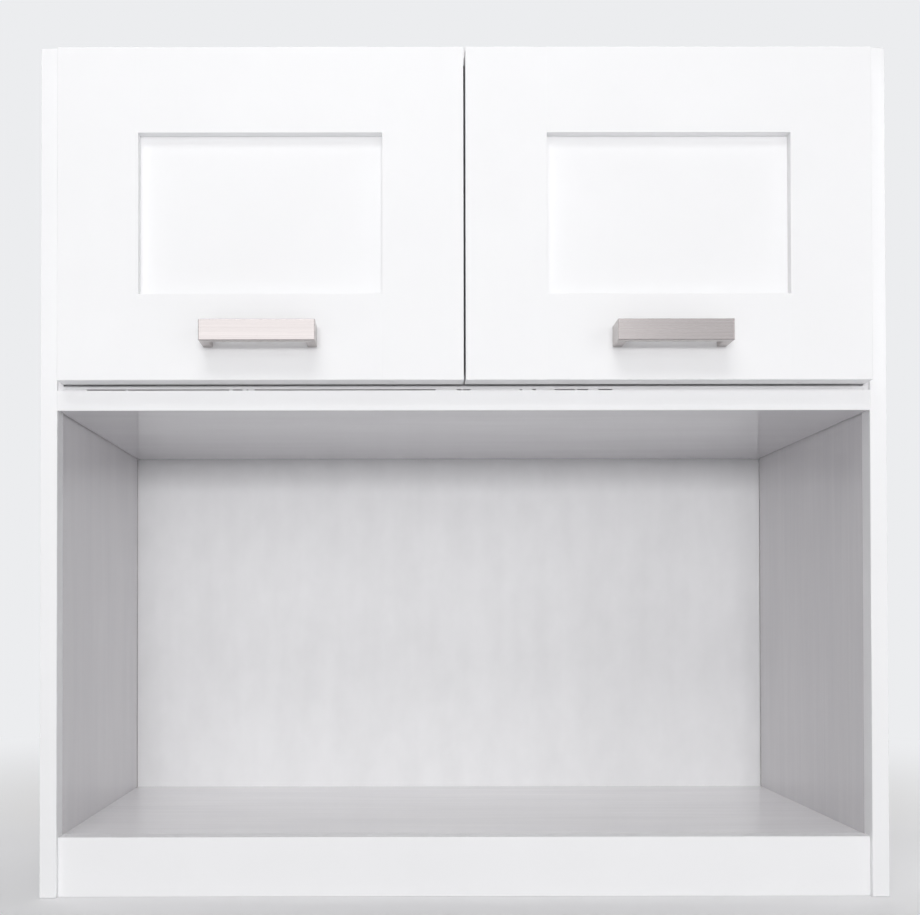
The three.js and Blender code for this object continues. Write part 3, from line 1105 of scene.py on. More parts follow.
@dataclass(frozen=True)
class HingeSizes:
    """A cup hinge's sizes, in its own frame: X runs inwards from the door's edge, and Y = 0 is the door's back."""

    cup_radius: float = 17.5 * MM
    cup_depth: float = 13 * MM
    cup_floor: float = 1 * MM
    cup_foot_round: float = 1.6 * MM
    cup_edge_distance: float = 3 * MM
    cup_end_wall: float = 1.4 * MM
    mouth_half_width: float = 5.5 * MM
    mouth_corner: float = 1.2 * MM
    flange_radius: float = 18.8 * MM
    flange_thickness: float = 1 * MM
    flange_sunk: float = 0.4 * MM
    flange_edge: float = 0.3 * MM
    rim_facet: float = 6 * MM  # longer edges of the flange's top lie inside its outline
    wing_length: float = 29 * MM
    wing_width: float = 17 * MM
    wing_corner: float = 6 * MM
    wing_proud: float = 0.3 * MM  # how far the wings' edge stands out of the flange's round
    wing_lift: float = 0.05 * MM  # and their back over the flange's
    cup_screw: Screw = Screw(3.6 * MM, 1.9 * MM, 1.6 * MM, 10 * MM, countersunk=True)
    cup_screw_spacing: float = 45 * MM
    cup_screw_offset: float = 9.5 * MM
    cup_seat: tuple[float, float, float] = (4 * MM, 2.2 * MM, 1.8 * MM)  # radius, depth and radius at the foot
    pin_radius: float = 1.1 * MM
    pin_inset: float = 7.1 * MM
    pin_depth: float = 8.4 * MM
    pin_half_length: float = 9 * MM
    pin_end_round: float = 0.35 * MM
    bore_play: float = 0.3 * MM
    eye_radius: float = 2.3 * MM
    eye_proud: float = 0.1 * MM  # how far the eye stands out of the tongue's edges
    sheet: float = 2 * MM
    neck_width: float = 9.6 * MM
    neck_slope: float = math.radians(8)
    knee_outer: float = 1.8 * MM
    knee_inner: float = 0.6 * MM
    arm_width: float = 15 * MM
    arm_side: float = 1.5 * MM
    arm_start: float = 6 * MM
    arm_end: float = 58 * MM
    arm_bend: float = 1.1 * MM
    notch_setback: float = 2.6 * MM
    notch_length: float = 5 * MM
    clamp_hole_radius: float = 2.3 * MM
    slot_share: float = 0.7  # of the clamp's hole
    adjuster_hole_radius: float = 2.9 * MM
    side_face: float = 10.9 * MM
    plate_thickness: float = 2.4 * MM
    plate_edge: float = 0.5 * MM
    ridge_height: float = 5.9 * MM
    ridge_length: float = 30 * MM
    ridge_setback: float = 2.6 * MM
    ridge_edge: float = 0.8 * MM
    plate_wing_width: float = 17 * MM
    plate_wing_half_length: float = 23 * MM
    plate_wing_corner: float = 5 * MM
    plate_centre: float = 40.4 * MM
    plate_screw: Screw = Screw(3.5 * MM, 1.9 * MM, 1.6 * MM, 11 * MM, countersunk=True)
    plate_hole_spacing: float = 32 * MM
    plate_hole_radius: float = 2.35 * MM
    plate_hole_depth: float = 4 * MM
    plate_seat: tuple[float, float, float] = (3.9 * MM, 2.1 * MM, 1.9 * MM)  # radius, depth and radius at the foot
    clamp_screw: Screw = Screw(3.4 * MM, 1.8 * MM, 2 * MM, 9.3 * MM)
    clamp_bore: float = 6 * MM
    screw_from_end: float = 10 * MM
    adjuster: Screw = Screw(2.7 * MM, 1.6 * MM, 1.6 * MM, 2 * MM)
    adjuster_proud: float = 0.3 * MM
    adjuster_from_end: float = 36 * MM
    sliver: float = 0.01 * MM  # keeps a cutter's end off the face that it starts at

    @property
    def cup_centre(self) -> float:
        """How far the cup's middle is from the door's edge."""
        return self.cup_edge_distance + self.cup_radius

    @property
    def plate_top(self) -> float:
        """Where the plate's upper face is."""
        return self.side_face + self.plate_thickness

    @property
    def ridge_top(self) -> float:
        """Where the top of the plate's ridge is."""
        return self.plate_top + self.ridge_height

    @property
    def arm_inner(self) -> float:
        """Where the arm's underside is."""
        return self.ridge_top + self.bore_play

    @property
    def arm_outer(self) -> float:
        """Where the arm's top is."""
        return self.arm_inner + self.sheet


HINGE = HingeSizes()


@dataclass
class Gable(SubAssembly):
    """A full-height side panel of plywood and the solid lipping on its front edge."""

    side: Side = Side.LEFT
    lipping_arris: float = 0.9 * MM
    joint_arris: float = 0.25 * MM
    groove_play: float = 0.3 * MM

    def build(self) -> None:
        """Model the panel and its lipping."""
        name = f"{self.side.label}_gable"
        low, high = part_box(name)
        panel = Bench.block(f"{name}_panel", low, high)
        Bench.ease(panel, self.joint_arris, outer_edge(low, high), steps=2)
        self.cut_back_groove(panel, self.side, name, "niche_back_panel", self.groove_play)
        self.face_with(panel, UPRIGHT_PLY, looking(Axis.Z.unit, -Axis.Z.unit, Axis.Y.unit))
        self.face_with(panel, SIDE_PAINT, looking(-self.side.value * Axis.X.unit))
        # The inner face takes the niche walls' paint, darkened as painted shade.
        self.hand_over(panel, WALL_PAINT_AND_SHADE, "inner_paint", name)

        stile = f"{self.side.label}_stile"
        low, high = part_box(stile)
        lipping = Bench.block(f"{stile}_lipping", low, high)
        Bench.ease(lipping, self.lipping_arris, edge_at(y=low.y), steps=4)
        Bench.ease(lipping, self.joint_arris, edge_at(y=high.y), steps=2)
        self.hand_over(lipping, LACQUER, "white_paint", stile)


@dataclass
class Niche(SubAssembly):
    """The open niche: shelf, back and top."""

    rail_edge: float = 1.8 * MM
    rail_end: float = 0.4 * MM
    joint_arris: float = 0.3 * MM
    back_arris: float = 0.2 * MM
    top_arris: float = 0.9 * MM
    top_joint_arris: float = 0.2 * MM
    side_gap: float = 1.6 * MM  # the dark line where the top meets the gables
    back_gap: float = 1.0 * MM  # and where it meets the back board
    gap_depth: float = 3 * MM
    gap_setback: float = 2.5 * MM  # the filler at the front hides its end
    # The back's face stops short of the gables by the shoulder, and its thinned edge goes on into their grooves.
    shoulder: float = 0.6 * MM
    shoulder_depth: float = 1.2 * MM

    def build(self) -> None:
        """Model the boards of the niche."""
        self.front_rail()
        self.deck()
        self.top()
        self.back()

    def front_rail(self) -> None:
        """Model the deep rail across the shelf's front edge."""
        low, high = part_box("shelf_front_rail")
        rail = Bench.block("shelf_front_rail_board", low, high)
        for end in (low.x, high.x):
            Bench.ease(rail, self.rail_end, edge_at(x=end, y=low.y))
        for level in (low.z, high.z):
            Bench.ease(rail, self.rail_edge, edge_at(y=low.y, z=level), steps=4)
        self.hand_over(rail, LACQUER, "white_paint", "shelf_front_rail")

    def deck(self) -> None:
        """Model the board that things stand on."""
        deck = self.eased_board("shelf_deck", self.joint_arris)
        self.face_with(deck, LEVEL_PLY, looking(-Axis.Z.unit))
        self.hand_over(deck, DECK_PAINT, "inner_paint", "shelf_deck")

    def top(self) -> None:
        """Model the board that closes the niche. Its edge is lacquered as the doors are, its underside painted in
        a tone darkened as painted shade.
        """
        low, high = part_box("niche_top_panel")
        top = Bench.block("niche_top_panel_board", low, high)
        Bench.ease(top, self.top_arris, edge_at(y=low.y, z=low.z), steps=4)
        Bench.ease(top, self.top_joint_arris, edge_at(y=low.y, z=high.z), steps=2)
        front, upper = low.y + self.gap_setback, low.z + self.gap_depth
        far = (high.x + REACH, high.y + REACH, upper)
        near = (low.x - REACH, front, low.z - REACH)
        Bench.cut(top, Bench.block("left_gap", near, (low.x + self.side_gap, far[1], upper)))
        Bench.cut(top, Bench.block("right_gap", (high.x - self.side_gap, front, near[2]), far))
        Bench.cut(top, Bench.block("back_gap", (near[0], high.y - self.back_gap, near[2]), far))
        # Its top and underside take the ceiling paint, whose dark tone is painted shade.
        self.face_with(top, CEILING_PAINT_AND_SHADE, looking(Axis.Z.unit, -Axis.Z.unit))
        self.hand_over(top, LACQUER, "white_paint", "niche_top_panel")

    def back(self) -> None:
        """Model the back board, thinned where it enters the gables' grooves, with its veneer bare to the wall."""
        board = self.eased_board("niche_back_panel", self.back_arris)
        low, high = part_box("niche_back_panel")
        for side in Side:
            inner = side.inner(*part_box(f"{side.label}_gable"))
            ends = sorted((inner + side.value * self.shoulder, inner - side.value * REACH))
            near = (ends[0], low.y - REACH, low.z - REACH)
            Bench.cut(board, Bench.block("edge", near, (ends[1], low.y + self.shoulder_depth, high.z + REACH)))
        self.face_with(board, BACK_VENEER, looking(Axis.Y.unit))
        self.hand_over(board, BACK_PAINT, "back_board", "niche_back_panel")


@dataclass
class UpperBox(SubAssembly):
    """The box behind the doors, of plywood boards with a back in grooves."""

    arris: float = 0.4 * MM
    back_arris: float = 0.2 * MM
    lip_height: float = 4.4 * MM
    lip_gap: float = 1.5 * MM
    lip_depth: float = 7 * MM
    lip_end: float = 376 * MM  # from the middle; the shadow line stops short of the gables
    notch_top: float = 12 * MM
    # Where paint has run into the gap under the lip, as spans in millimetres from the middle.
    paint_spans: tuple[tuple[float, float], ...] = (
        (-376, -354), (-317.5, -315.5), (-220.5, -217), (-208, -204), (-202.5, -196.5), (-26.5, -6),
        (-2.2, -0.3), (6.5, 53), (55, 65), (68, 86), (105, 107), (117, 127), (140, 376),
    )
    paint_setback: float = 0.35 * MM
    paint_round: float = 0.3 * MM
    groove_play: float = 0.3 * MM
    hole_radius: float = 2.5 * MM
    hole_depth: float = 11.3 * MM

    def build(self) -> None:
        """Model the box's five boards."""
        self.bottom()
        top = self.eased_board("upper_top", self.arris)
        self.hand_over(top, BOX_PAINT, "inner_paint", "upper_top")
        back = self.eased_board("upper_back", self.back_arris)
        self.face_with(back, BACK_VENEER, looking(Axis.Y.unit))
        self.hand_over(back, BACK_PAINT, "back_board", "upper_back")
        for side in Side:
            self.side_board(side)

    def bottom(self) -> None:
        """Model the bottom, whose front edge is rebated over a thin lip, with a fine gap under the lip."""
        low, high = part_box("upper_bottom")
        board = Bench.block("upper_bottom_board", low, high)
        Bench.cut(board, *self.lip_cutters(high.z - low.z + REACH))
        self.hand_over(board, BOX_PAINT, "inner_paint", "upper_bottom")
        self.paint_in_gap(low)

    def lip_cutters(self, height: float) -> list[Piece]:
        """Cutters for the rebate over the lip and for the gap under it.

        Args:
            height: how far over the box's underside the rebate goes

        Returns:
            The two cutters.
        """
        low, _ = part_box("upper_bottom")
        end, front, inside = self.lip_end, low.y - REACH, low.y + self.lip_depth
        return [
            Bench.block("rebate", (-end, front, low.z + self.lip_height), (end, inside, low.z + height)),
            Bench.block("gap", (-end, front, low.z - REACH), (end, inside, low.z + self.lip_gap)),
        ]

    def paint_in_gap(self, low: Vector) -> None:
        """Model the paint that bridges the gap under the lip here and there.

        Args:
            low: the lowest corner of the box's bottom
        """
        front, rear = low.y + self.paint_setback, low.y + self.lip_depth
        at_front = edge_at(y=front)
        beads = []
        for start, end in self.paint_spans:
            bead = Bench.block("bead", (start * MM, front, low.z), (end * MM, rear, low.z + self.lip_gap))
            Bench.ease(bead, self.paint_round, lambda a, b: at_front(a, b) and upright(a, b))
            beads.append(bead)
        paint = Bench.join(beads)
        paint.name = paint.data.name = "joint_paint"
        self.hand_over(paint, LACQUER, "white_paint")

    def side_board(self, side: Side) -> None:
        """Model one side, with its back groove and the holes that the hinge plates are screwed into.

        Args:
            side: which side it is
        """
        node = f"upper_{side.label}_side"
        low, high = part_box(node)
        board = Bench.block(f"{node}_board", low, high)
        Bench.ease(board, self.arris, outer_edge(low, high))
        self.cut_back_groove(board, side, node, "upper_back", self.groove_play)
        Bench.cut(board, *self.lip_cutters(self.notch_top))
        mouth = side.inner(low, high) + side.value * REACH
        depth = HINGE.plate_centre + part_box(f"{side.label}_door_outer_stile")[1].y
        holes = []
        for level in Level:
            middle = middle_of(f"{side.label}_{level.value}_hinge_plate").z
            for end in (-1, 1):
                start = (mouth, depth, middle + end * HINGE.plate_hole_spacing / 2)
                run = -side.value * (REACH + self.hole_depth)
                holes.append(Bench.rod("hole", Axis.X, self.hole_radius, start, run))
        Bench.cut(board, *holes)
        rear, sawn = looking(Axis.Y.unit), facing(Axis.Z.unit, high.z)
        self.face_with(board, UPRIGHT_PLY, lambda centre, normal: rear(centre, normal) or sawn(centre, normal))
        self.hand_over(board, SIDE_PAINT, "inner_paint", node)


@dataclass(frozen=True)
class HingePart:
    """One part of a hinge: its model in the hinge's own frame, and what each of its copies is."""

    shape: Piece
    finish: Finish
    slot: str
    on_door: bool
    node: str | None = None


class HingePatterns:
    """One model of each hinge part, from which every hinge is copied."""

    def __init__(self, sizes: HingeSizes) -> None:
        """Model the parts.

        Args:
            sizes: the hinge's sizes
        """
        self.sizes = s = sizes
        pressed, steel = (BRIGHT_NICKEL, "nickel_plate"), (ZINC, "zinc_steel")
        clamp_seat = (s.arm_outer + s.clamp_screw.head_height, s.arm_end - s.screw_from_end, 0)
        adjuster_seat = (s.arm_outer + s.adjuster_proud, s.arm_end - s.adjuster_from_end, 0)
        clamp_screw = s.clamp_screw.driven("clamp_screw_pattern", clamp_seat, Axis.X)
        adjuster = s.adjuster.driven("adjuster_pattern", adjuster_seat, Axis.X)
        self.parts = {
            "cup_pressing": HingePart(self.cup(), *pressed, True, "cup"),
            "steel_pin": HingePart(self.pin(), *steel, True, "pin"),
            "arm_pressing": HingePart(self.arm(), *pressed, False, "arm"),
            "plate_casting": HingePart(self.plate(), *pressed, False, "plate"),
            "clamp_screw": HingePart(clamp_screw, *steel, False, "screw"),
            "side_adjuster": HingePart(adjuster, *steel, False),
        }
        for letter, end in (("a", -1), ("b", 1)):
            seat = (s.cup_centre + s.cup_screw_offset, s.flange_thickness, end * s.cup_screw_spacing / 2)
            screw = s.cup_screw.driven("cup_screw_pattern", seat, Axis.Y)
            self.parts[f"cup_screw_{letter}"] = HingePart(screw, *steel, True)
        for letter, end in (("a", -1), ("b", 1)):
            seat = (s.plate_top, s.plate_centre, end * s.plate_hole_spacing / 2)
            screw = s.plate_screw.driven("plate_screw_pattern", seat, Axis.X)
            self.parts[f"plate_screw_{letter}"] = HingePart(screw, *steel, False)

    def cup(self) -> Piece:
        """Model the cup with its flange and wings, opened for the arm.

        Returns:
            The cup.
        """
        s = self.sizes
        cup = Bench.rod("cup_pattern", Axis.Y, s.cup_radius, (s.cup_centre, 0, 0), -s.cup_depth, sides=72)
        Bench.ease(cup, s.cup_foot_round, edge_at(y=-s.cup_depth), steps=4)
        back, thickness = (s.cup_centre, -s.flange_sunk, 0), s.flange_thickness + s.flange_sunk
        flange = Bench.rod("flange", Axis.Y, s.flange_radius, back, thickness, sides=72)
        reach = s.cup_centre + s.flange_radius + s.wing_proud
        low = (reach - s.wing_width, s.wing_lift, -s.wing_length)
        wings = Bench.block("wings", low, (reach, s.flange_thickness, s.wing_length))
        Bench.ease(wings, s.wing_corner, lambda a, b: abs(a.z) > s.wing_length - NEAR and inwards(a, b), steps=8)
        Bench.fuse(cup, flange, wings)
        rim = edge_at(y=s.flange_thickness)
        Bench.ease(cup, s.flange_edge, lambda a, b: rim(a, b) and (b - a).length < s.rim_facet, steps=2)
        left = s.cup_edge_distance + s.cup_end_wall
        right = s.cup_edge_distance + 2 * s.cup_radius - s.cup_end_wall
        floor = s.cup_floor - s.cup_depth
        mouth = Bench.block("mouth", (left, floor, -s.mouth_half_width), (right, REACH, s.mouth_half_width))
        Bench.ease(mouth, s.mouth_corner, inwards, steps=4)
        Bench.cut(cup, mouth)
        start = (s.pin_inset, -s.pin_depth, -s.cup_radius)
        Bench.cut(cup, Bench.rod("bore", Axis.Z, s.pin_radius + s.bore_play, start, 2 * s.cup_radius))
        radius, depth, foot = s.cup_seat
        for end in (-1, 1):
            top = s.flange_thickness + s.sliver
            start = (s.cup_centre + s.cup_screw_offset, top, end * s.cup_screw_spacing / 2)
            Bench.cut(cup, Bench.rod("seat", Axis.Y, radius, start, -depth, foot, sides=32))
        return cup

    def pin(self) -> Piece:
        """Model the pin with its rounded ends.

        Returns:
            The pin.
        """
        s = self.sizes
        start = (s.pin_inset, -s.pin_depth, -s.pin_half_length)
        pin = Bench.rod("pin_pattern", Axis.Z, s.pin_radius, start, 2 * s.pin_half_length, sides=32)
        Bench.ease(pin, s.pin_end_round, lambda a, b: not upright(a, b))
        return pin

    def arm(self) -> Piece:
        """Model the arm, a bent channel whose cranked tongue ends in an eye.

        Returns:
            The arm.
        """
        s = self.sizes
        half, inside, narrow = s.arm_width / 2, s.arm_width / 2 - s.arm_side, s.neck_width / 2
        low, high = (s.plate_top + s.bore_play, s.arm_start, -half), (s.arm_outer, s.arm_end, half)
        arm = Bench.block("arm_pattern", low, high)
        for bend in (-half, half):
            Bench.ease(arm, s.arm_bend, edge_at(x=s.arm_outer, z=bend), steps=4)
        under, ahead = s.plate_top - REACH, s.arm_start - REACH
        Bench.cut(arm, Bench.block("channel", (under, ahead, -inside), (s.arm_inner, s.arm_end + REACH, inside)))
        notch = (s.arm_outer - s.notch_setback, s.arm_start + s.notch_length, half + REACH)
        Bench.cut(arm, Bench.block("notch", (under, ahead, -half - REACH), notch))
        self.draw_tongue(arm, narrow)
        eye_half = narrow + s.eye_proud
        start = (s.pin_inset, -s.pin_depth, -eye_half)
        Bench.fuse(arm, Bench.rod("eye", Axis.Z, s.eye_radius, start, 2 * eye_half, sides=40))
        start = (s.pin_inset, -s.pin_depth, -REACH)
        Bench.cut(arm, Bench.rod("bore", Axis.Z, s.pin_radius + s.bore_play, start, 2 * REACH))
        below, above = s.arm_inner - CLEAR, s.arm_outer + CLEAR
        holes = ((s.screw_from_end, s.clamp_hole_radius), (s.adjuster_from_end, s.adjuster_hole_radius))
        for setback, radius in holes:
            start = (below, s.arm_end - setback, 0)
            Bench.cut(arm, Bench.rod("hole", Axis.X, radius, start, above - below, sides=32))
        slot = s.slot_share * s.clamp_hole_radius
        start = (below, s.arm_end - s.screw_from_end, -slot)
        Bench.cut(arm, Bench.block("slot", start, (above, s.arm_end + REACH, slot)))
        return arm

    def draw_tongue(self, arm: Piece, narrow: float) -> None:
        """Draw the tongue out of the arm's end, down past its knee and across to the pin.

        Args:
            arm: the arm's channel
            narrow: half the tongue's width
        """
        s = self.sizes
        end = facing(-Axis.Y.unit, -s.arm_start)
        Bench.split(arm, end, Axis.Z, (-narrow, narrow))
        rise = math.tan(s.neck_slope) * (s.arm_inner - s.pin_inset)
        knee = -s.pin_depth - rise
        near, far = knee + s.sheet / 2, knee - s.sheet / 2
        down = Vector((0, near - s.arm_start, 0))
        Bench.pull(arm, lambda at, normal: end(at, normal) and abs(at.z) < narrow / 2, down)
        Bench.pull(arm, facing(-Axis.Y.unit, -near), Vector((0, far - near, 0)))
        inner, run = facing(-Axis.X.unit), Vector((s.pin_inset - s.arm_inner, rise, 0))
        Bench.pull(arm, lambda at, normal: inner(at, normal) and abs(at.y - knee) < NEAR, run)
        Bench.ease(arm, s.knee_outer, edge_at(x=s.arm_outer, y=far), steps=5)
        Bench.ease(arm, s.knee_inner, edge_at(x=s.arm_inner, y=near))

    def plate(self) -> Piece:
        """Model the mounting plate, a winged base with a ridge.

        Returns:
            The plate.
        """
        s = self.sizes
        half, tall = s.plate_wing_width / 2, s.plate_wing_half_length
        low, high = (s.side_face, s.plate_centre - half, -tall), (s.plate_top, s.plate_centre + half, tall)
        plate = Bench.block("plate_pattern", low, high)
        Bench.ease(plate, s.plate_wing_corner, lambda a, b: across(a, b) and abs(a.z) > tall - NEAR, steps=6)
        Bench.ease(plate, s.plate_edge, edge_at(x=s.plate_top), steps=2)
        ridge_half = s.arm_width / 2 - s.arm_side - s.bore_play
        end = s.arm_end - s.ridge_setback
        low = (s.side_face, end - s.ridge_length, -ridge_half)
        ridge = Bench.block("ridge", low, (s.ridge_top, end, ridge_half))
        Bench.ease(ridge, s.ridge_edge, edge_at(x=s.ridge_top))
        Bench.fuse(plate, ridge)
        start = (s.ridge_top + CLEAR, s.arm_end - s.screw_from_end, 0)
        Bench.cut(plate, Bench.rod("bore", Axis.X, s.clamp_hole_radius, start, -CLEAR - s.clamp_bore))
        radius, depth, foot = s.plate_seat
        for side in (-1, 1):
            start = (s.plate_top + s.sliver, s.plate_centre, side * s.plate_hole_spacing / 2)
            Bench.cut(plate, Bench.rod("seat", Axis.X, radius, start, -depth, foot, sides=32))
            Bench.cut(plate, Bench.rod("hole", Axis.X, s.plate_hole_radius, start, -s.plate_hole_depth))
        return plate

    def clear_away(self) -> None:
        """Remove the patterns once every hinge is copied."""
        for part in self.parts.values():
            bpy.data.objects.remove(part.shape)


@dataclass
class Hinge:
    """One cup hinge, whose cup rides on the door and whose arm rides on the carcass."""

    side: Side
    level: Level

    def build(self, patterns: HingePatterns) -> None:
        """Copy the hinge's parts to their places.

        Args:
            patterns: one model of each part
        """
        name = f"{self.side.label}_{self.level.value}_hinge"
        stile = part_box(f"{self.side.label}_door_outer_stile")
        place = (self.side.outer(*stile), stile[1].y, middle_of(f"{name}_pin").z)
        placing = Matrix.Translation(place) @ Matrix.Scale(self.side.value, 4, Axis.X.unit)
        door, carcass = SubAssembly(f"{self.side.label}_door"), SubAssembly()
        for key, part in patterns.parts.items():
            piece = Bench.twin(part.shape, f"{name}_{key}", placing)
            nodes = [f"{name}_{part.node}"] if part.node else []
            (door if part.on_door else carcass).hand_over(piece, part.finish, part.slot, *nodes)


@dataclass
class Door(SubAssembly):
    """A framed door: two stiles, two rails and a loose flat panel, with its bumpers."""

    side: Side = Side.LEFT
    outer_arris: float = 1.1 * MM
    meeting_arris: float = 0.5 * MM  # where the two doors meet
    sight_arris: float = 0.5 * MM
    back_arris: float = 0.6 * MM
    panel_arris: float = 0.6 * MM
    bumper_round: float = 1.9 * MM
    groove_depth: float = 10 * MM
    groove_play: float = 0.3 * MM
    screw_hole_radius: float = 2.5 * MM
    low: Vector = field(init=False)
    high: Vector = field(init=False)

    def __post_init__(self) -> None:
        """Work out where the door's outline is."""
        self.body = f"{self.side.label}_door"
        outer_low, outer_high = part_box(f"{self.body}_outer_stile")
        inner_low, inner_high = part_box(f"{self.body}_inner_stile")
        self.low = Vector(map(min, outer_low, inner_low))
        self.high = Vector(map(max, outer_high, inner_high))

    def build(self) -> None:
        """Model the frame, the panel and the bumpers."""
        for end in End:
            self.stile(end)
        for rail in Rail:
            self.rail(rail)
        panel = self.eased_board(f"{self.body}_panel", self.panel_arris, f"{self.body}_flat_panel")
        self.hand_over(panel, LACQUER, "white_paint", f"{self.body}_panel")
        for level in Level:
            self.bumper(level)

    def on_outline(self, start: Vector, end: Vector) -> bool:
        """Whether an edge lies on the door's outline, seen from the front."""
        faces = [(place, corner[place]) for place in (0, 2) for corner in (self.low, self.high)]
        return any(same(start[place], end[place], face) for place, face in faces)

    def ease_member(self, member: Piece, low: Vector, high: Vector) -> None:
        """Round the edges of a frame member that lie on the door's outline, and leave its joints sharp.

        Args:
            member: the member that is worked
            low: its lowest corner
            high: its highest corner
        """
        outline, front, rear = outer_edge(low, high), edge_at(y=self.low.y), edge_at(y=self.high.y)
        meets = edge_at(x=self.side.inner(self.low, self.high), y=self.low.y)

        def shows(start: Vector, end: Vector) -> bool:
            """Whether an edge lies on the member's own outline and on the door's."""
            return outline(start, end) and self.on_outline(start, end)

        Bench.ease(member, self.outer_arris, lambda a, b: shows(a, b) and front(a, b) and not meets(a, b), steps=4)
        Bench.ease(member, self.meeting_arris, lambda a, b: abs(a.z - b.z) > REACH and meets(a, b), steps=4)
        Bench.ease(member, self.back_arris, lambda a, b: shows(a, b) and rear(a, b))

    def cut_groove(self, member: Piece, low: Iterable[float], high: Iterable[float]) -> None:
        """Cut the panel's groove into a member.

        Args:
            member: the member that is worked
            low: the groove's lowest corner, in X and Z
            high: its highest corner, in X and Z
        """
        panel_low, panel_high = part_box(f"{self.body}_panel")
        front, rear = panel_low.y - self.groove_play, panel_high.y + self.groove_play
        Bench.cut(member, Bench.block("groove", (low[0], front, low[1]), (high[0], rear, high[1])))

    def stile(self, end: End) -> None:
        """Model an upright of the frame. The outer one has the bores for the hinge cups.

        Args:
            end: which one it is
        """
        node = f"{self.body}_{end.value}_stile"
        low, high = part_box(node)
        member = Bench.block(f"{node}_member", low, high)
        self.ease_member(member, low, high)
        inward = self.side.value if end is End.OUTER else -self.side.value
        sight = high.x if inward > 0 else low.x
        reach = sorted((sight - inward * self.groove_depth, sight + inward * REACH))
        self.cut_groove(member, (reach[0], low.z - REACH), (reach[1], high.z + REACH))
        Bench.ease(member, self.sight_arris, edge_at(x=sight, y=self.low.y))
        if end is End.OUTER:
            across_cup = self.side.outer(self.low, self.high) + self.side.value * HINGE.cup_centre
            depth = HINGE.cup_depth + HINGE.bore_play
            for level in Level:
                height = middle_of(f"{self.side.label}_{level.value}_hinge_pin").z
                start = (across_cup, self.high.y + REACH, height)
                radius = HINGE.cup_radius + HINGE.bore_play
                Bench.cut(member, Bench.rod("bore", Axis.Y, radius, start, -REACH - depth, sides=72))
        self.hand_over(member, LACQUER, "white_paint", node)

    def rail(self, rail: Rail) -> None:
        """Model a level member of the frame, with a tenon at each end.

        Args:
            rail: which one it is
        """
        node = f"{self.body}_{rail.value}_rail"
        low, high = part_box(node)
        stiles = [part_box(f"{self.body}_{end.value}_stile") for end in End]
        left, right = min(stile[1].x for stile in stiles), max(stile[0].x for stile in stiles)
        near, far = Vector((left, low.y, low.z)), Vector((right, high.y, high.z))
        member = Bench.block(f"{node}_member", near, far)
        self.ease_member(member, near, far)
        panel_low, panel_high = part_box(f"{self.body}_panel")
        tenons = Bench.block("tenons", (low.x, panel_low.y, low.z), (high.x, panel_high.y, high.z))
        Bench.fuse(member, tenons)
        sight, way = (low.z, -1) if rail is Rail.TOP else (high.z, 1)
        reach = sorted((sight - way * self.groove_depth, sight + way * REACH))
        self.cut_groove(member, (low.x - REACH, reach[0]), (high.x + REACH, reach[1]))
        Bench.ease(member, self.sight_arris, edge_at(z=sight, y=self.low.y))
        if rail is Rail.BOTTOM:
            for end in End:
                centre = middle_of(f"{self.side.label}_handle_{end.value}_screw")
                start = (centre.x, self.low.y - REACH, centre.z)
                run = 2 * REACH + self.high.y - self.low.y
                Bench.cut(member, Bench.rod("hole", Axis.Y, self.screw_hole_radius, start, run, sides=32))
        self.hand_over(member, LACQUER, "white_paint", node)

    def bumper(self, level: Level) -> None:
        """Model a clear bumper as a domed dot.

        Args:
            level: which one it is
        """
        node = f"{self.body}_{level.value}_bumper"
        low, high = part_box(node)
        centre = (low + high) / 2
        start, radius = (centre.x, low.y, centre.z), (high.x - low.x) / 2
        dot = Bench.rod(f"{node}_dot", Axis.Y, radius, start, high.y - low.y, sides=48)
        Bench.ease(dot, self.bumper_round, edge_at(y=high.y), steps=6)
        self.hand_over(dot, BUMPER, "clear_rubber", node)


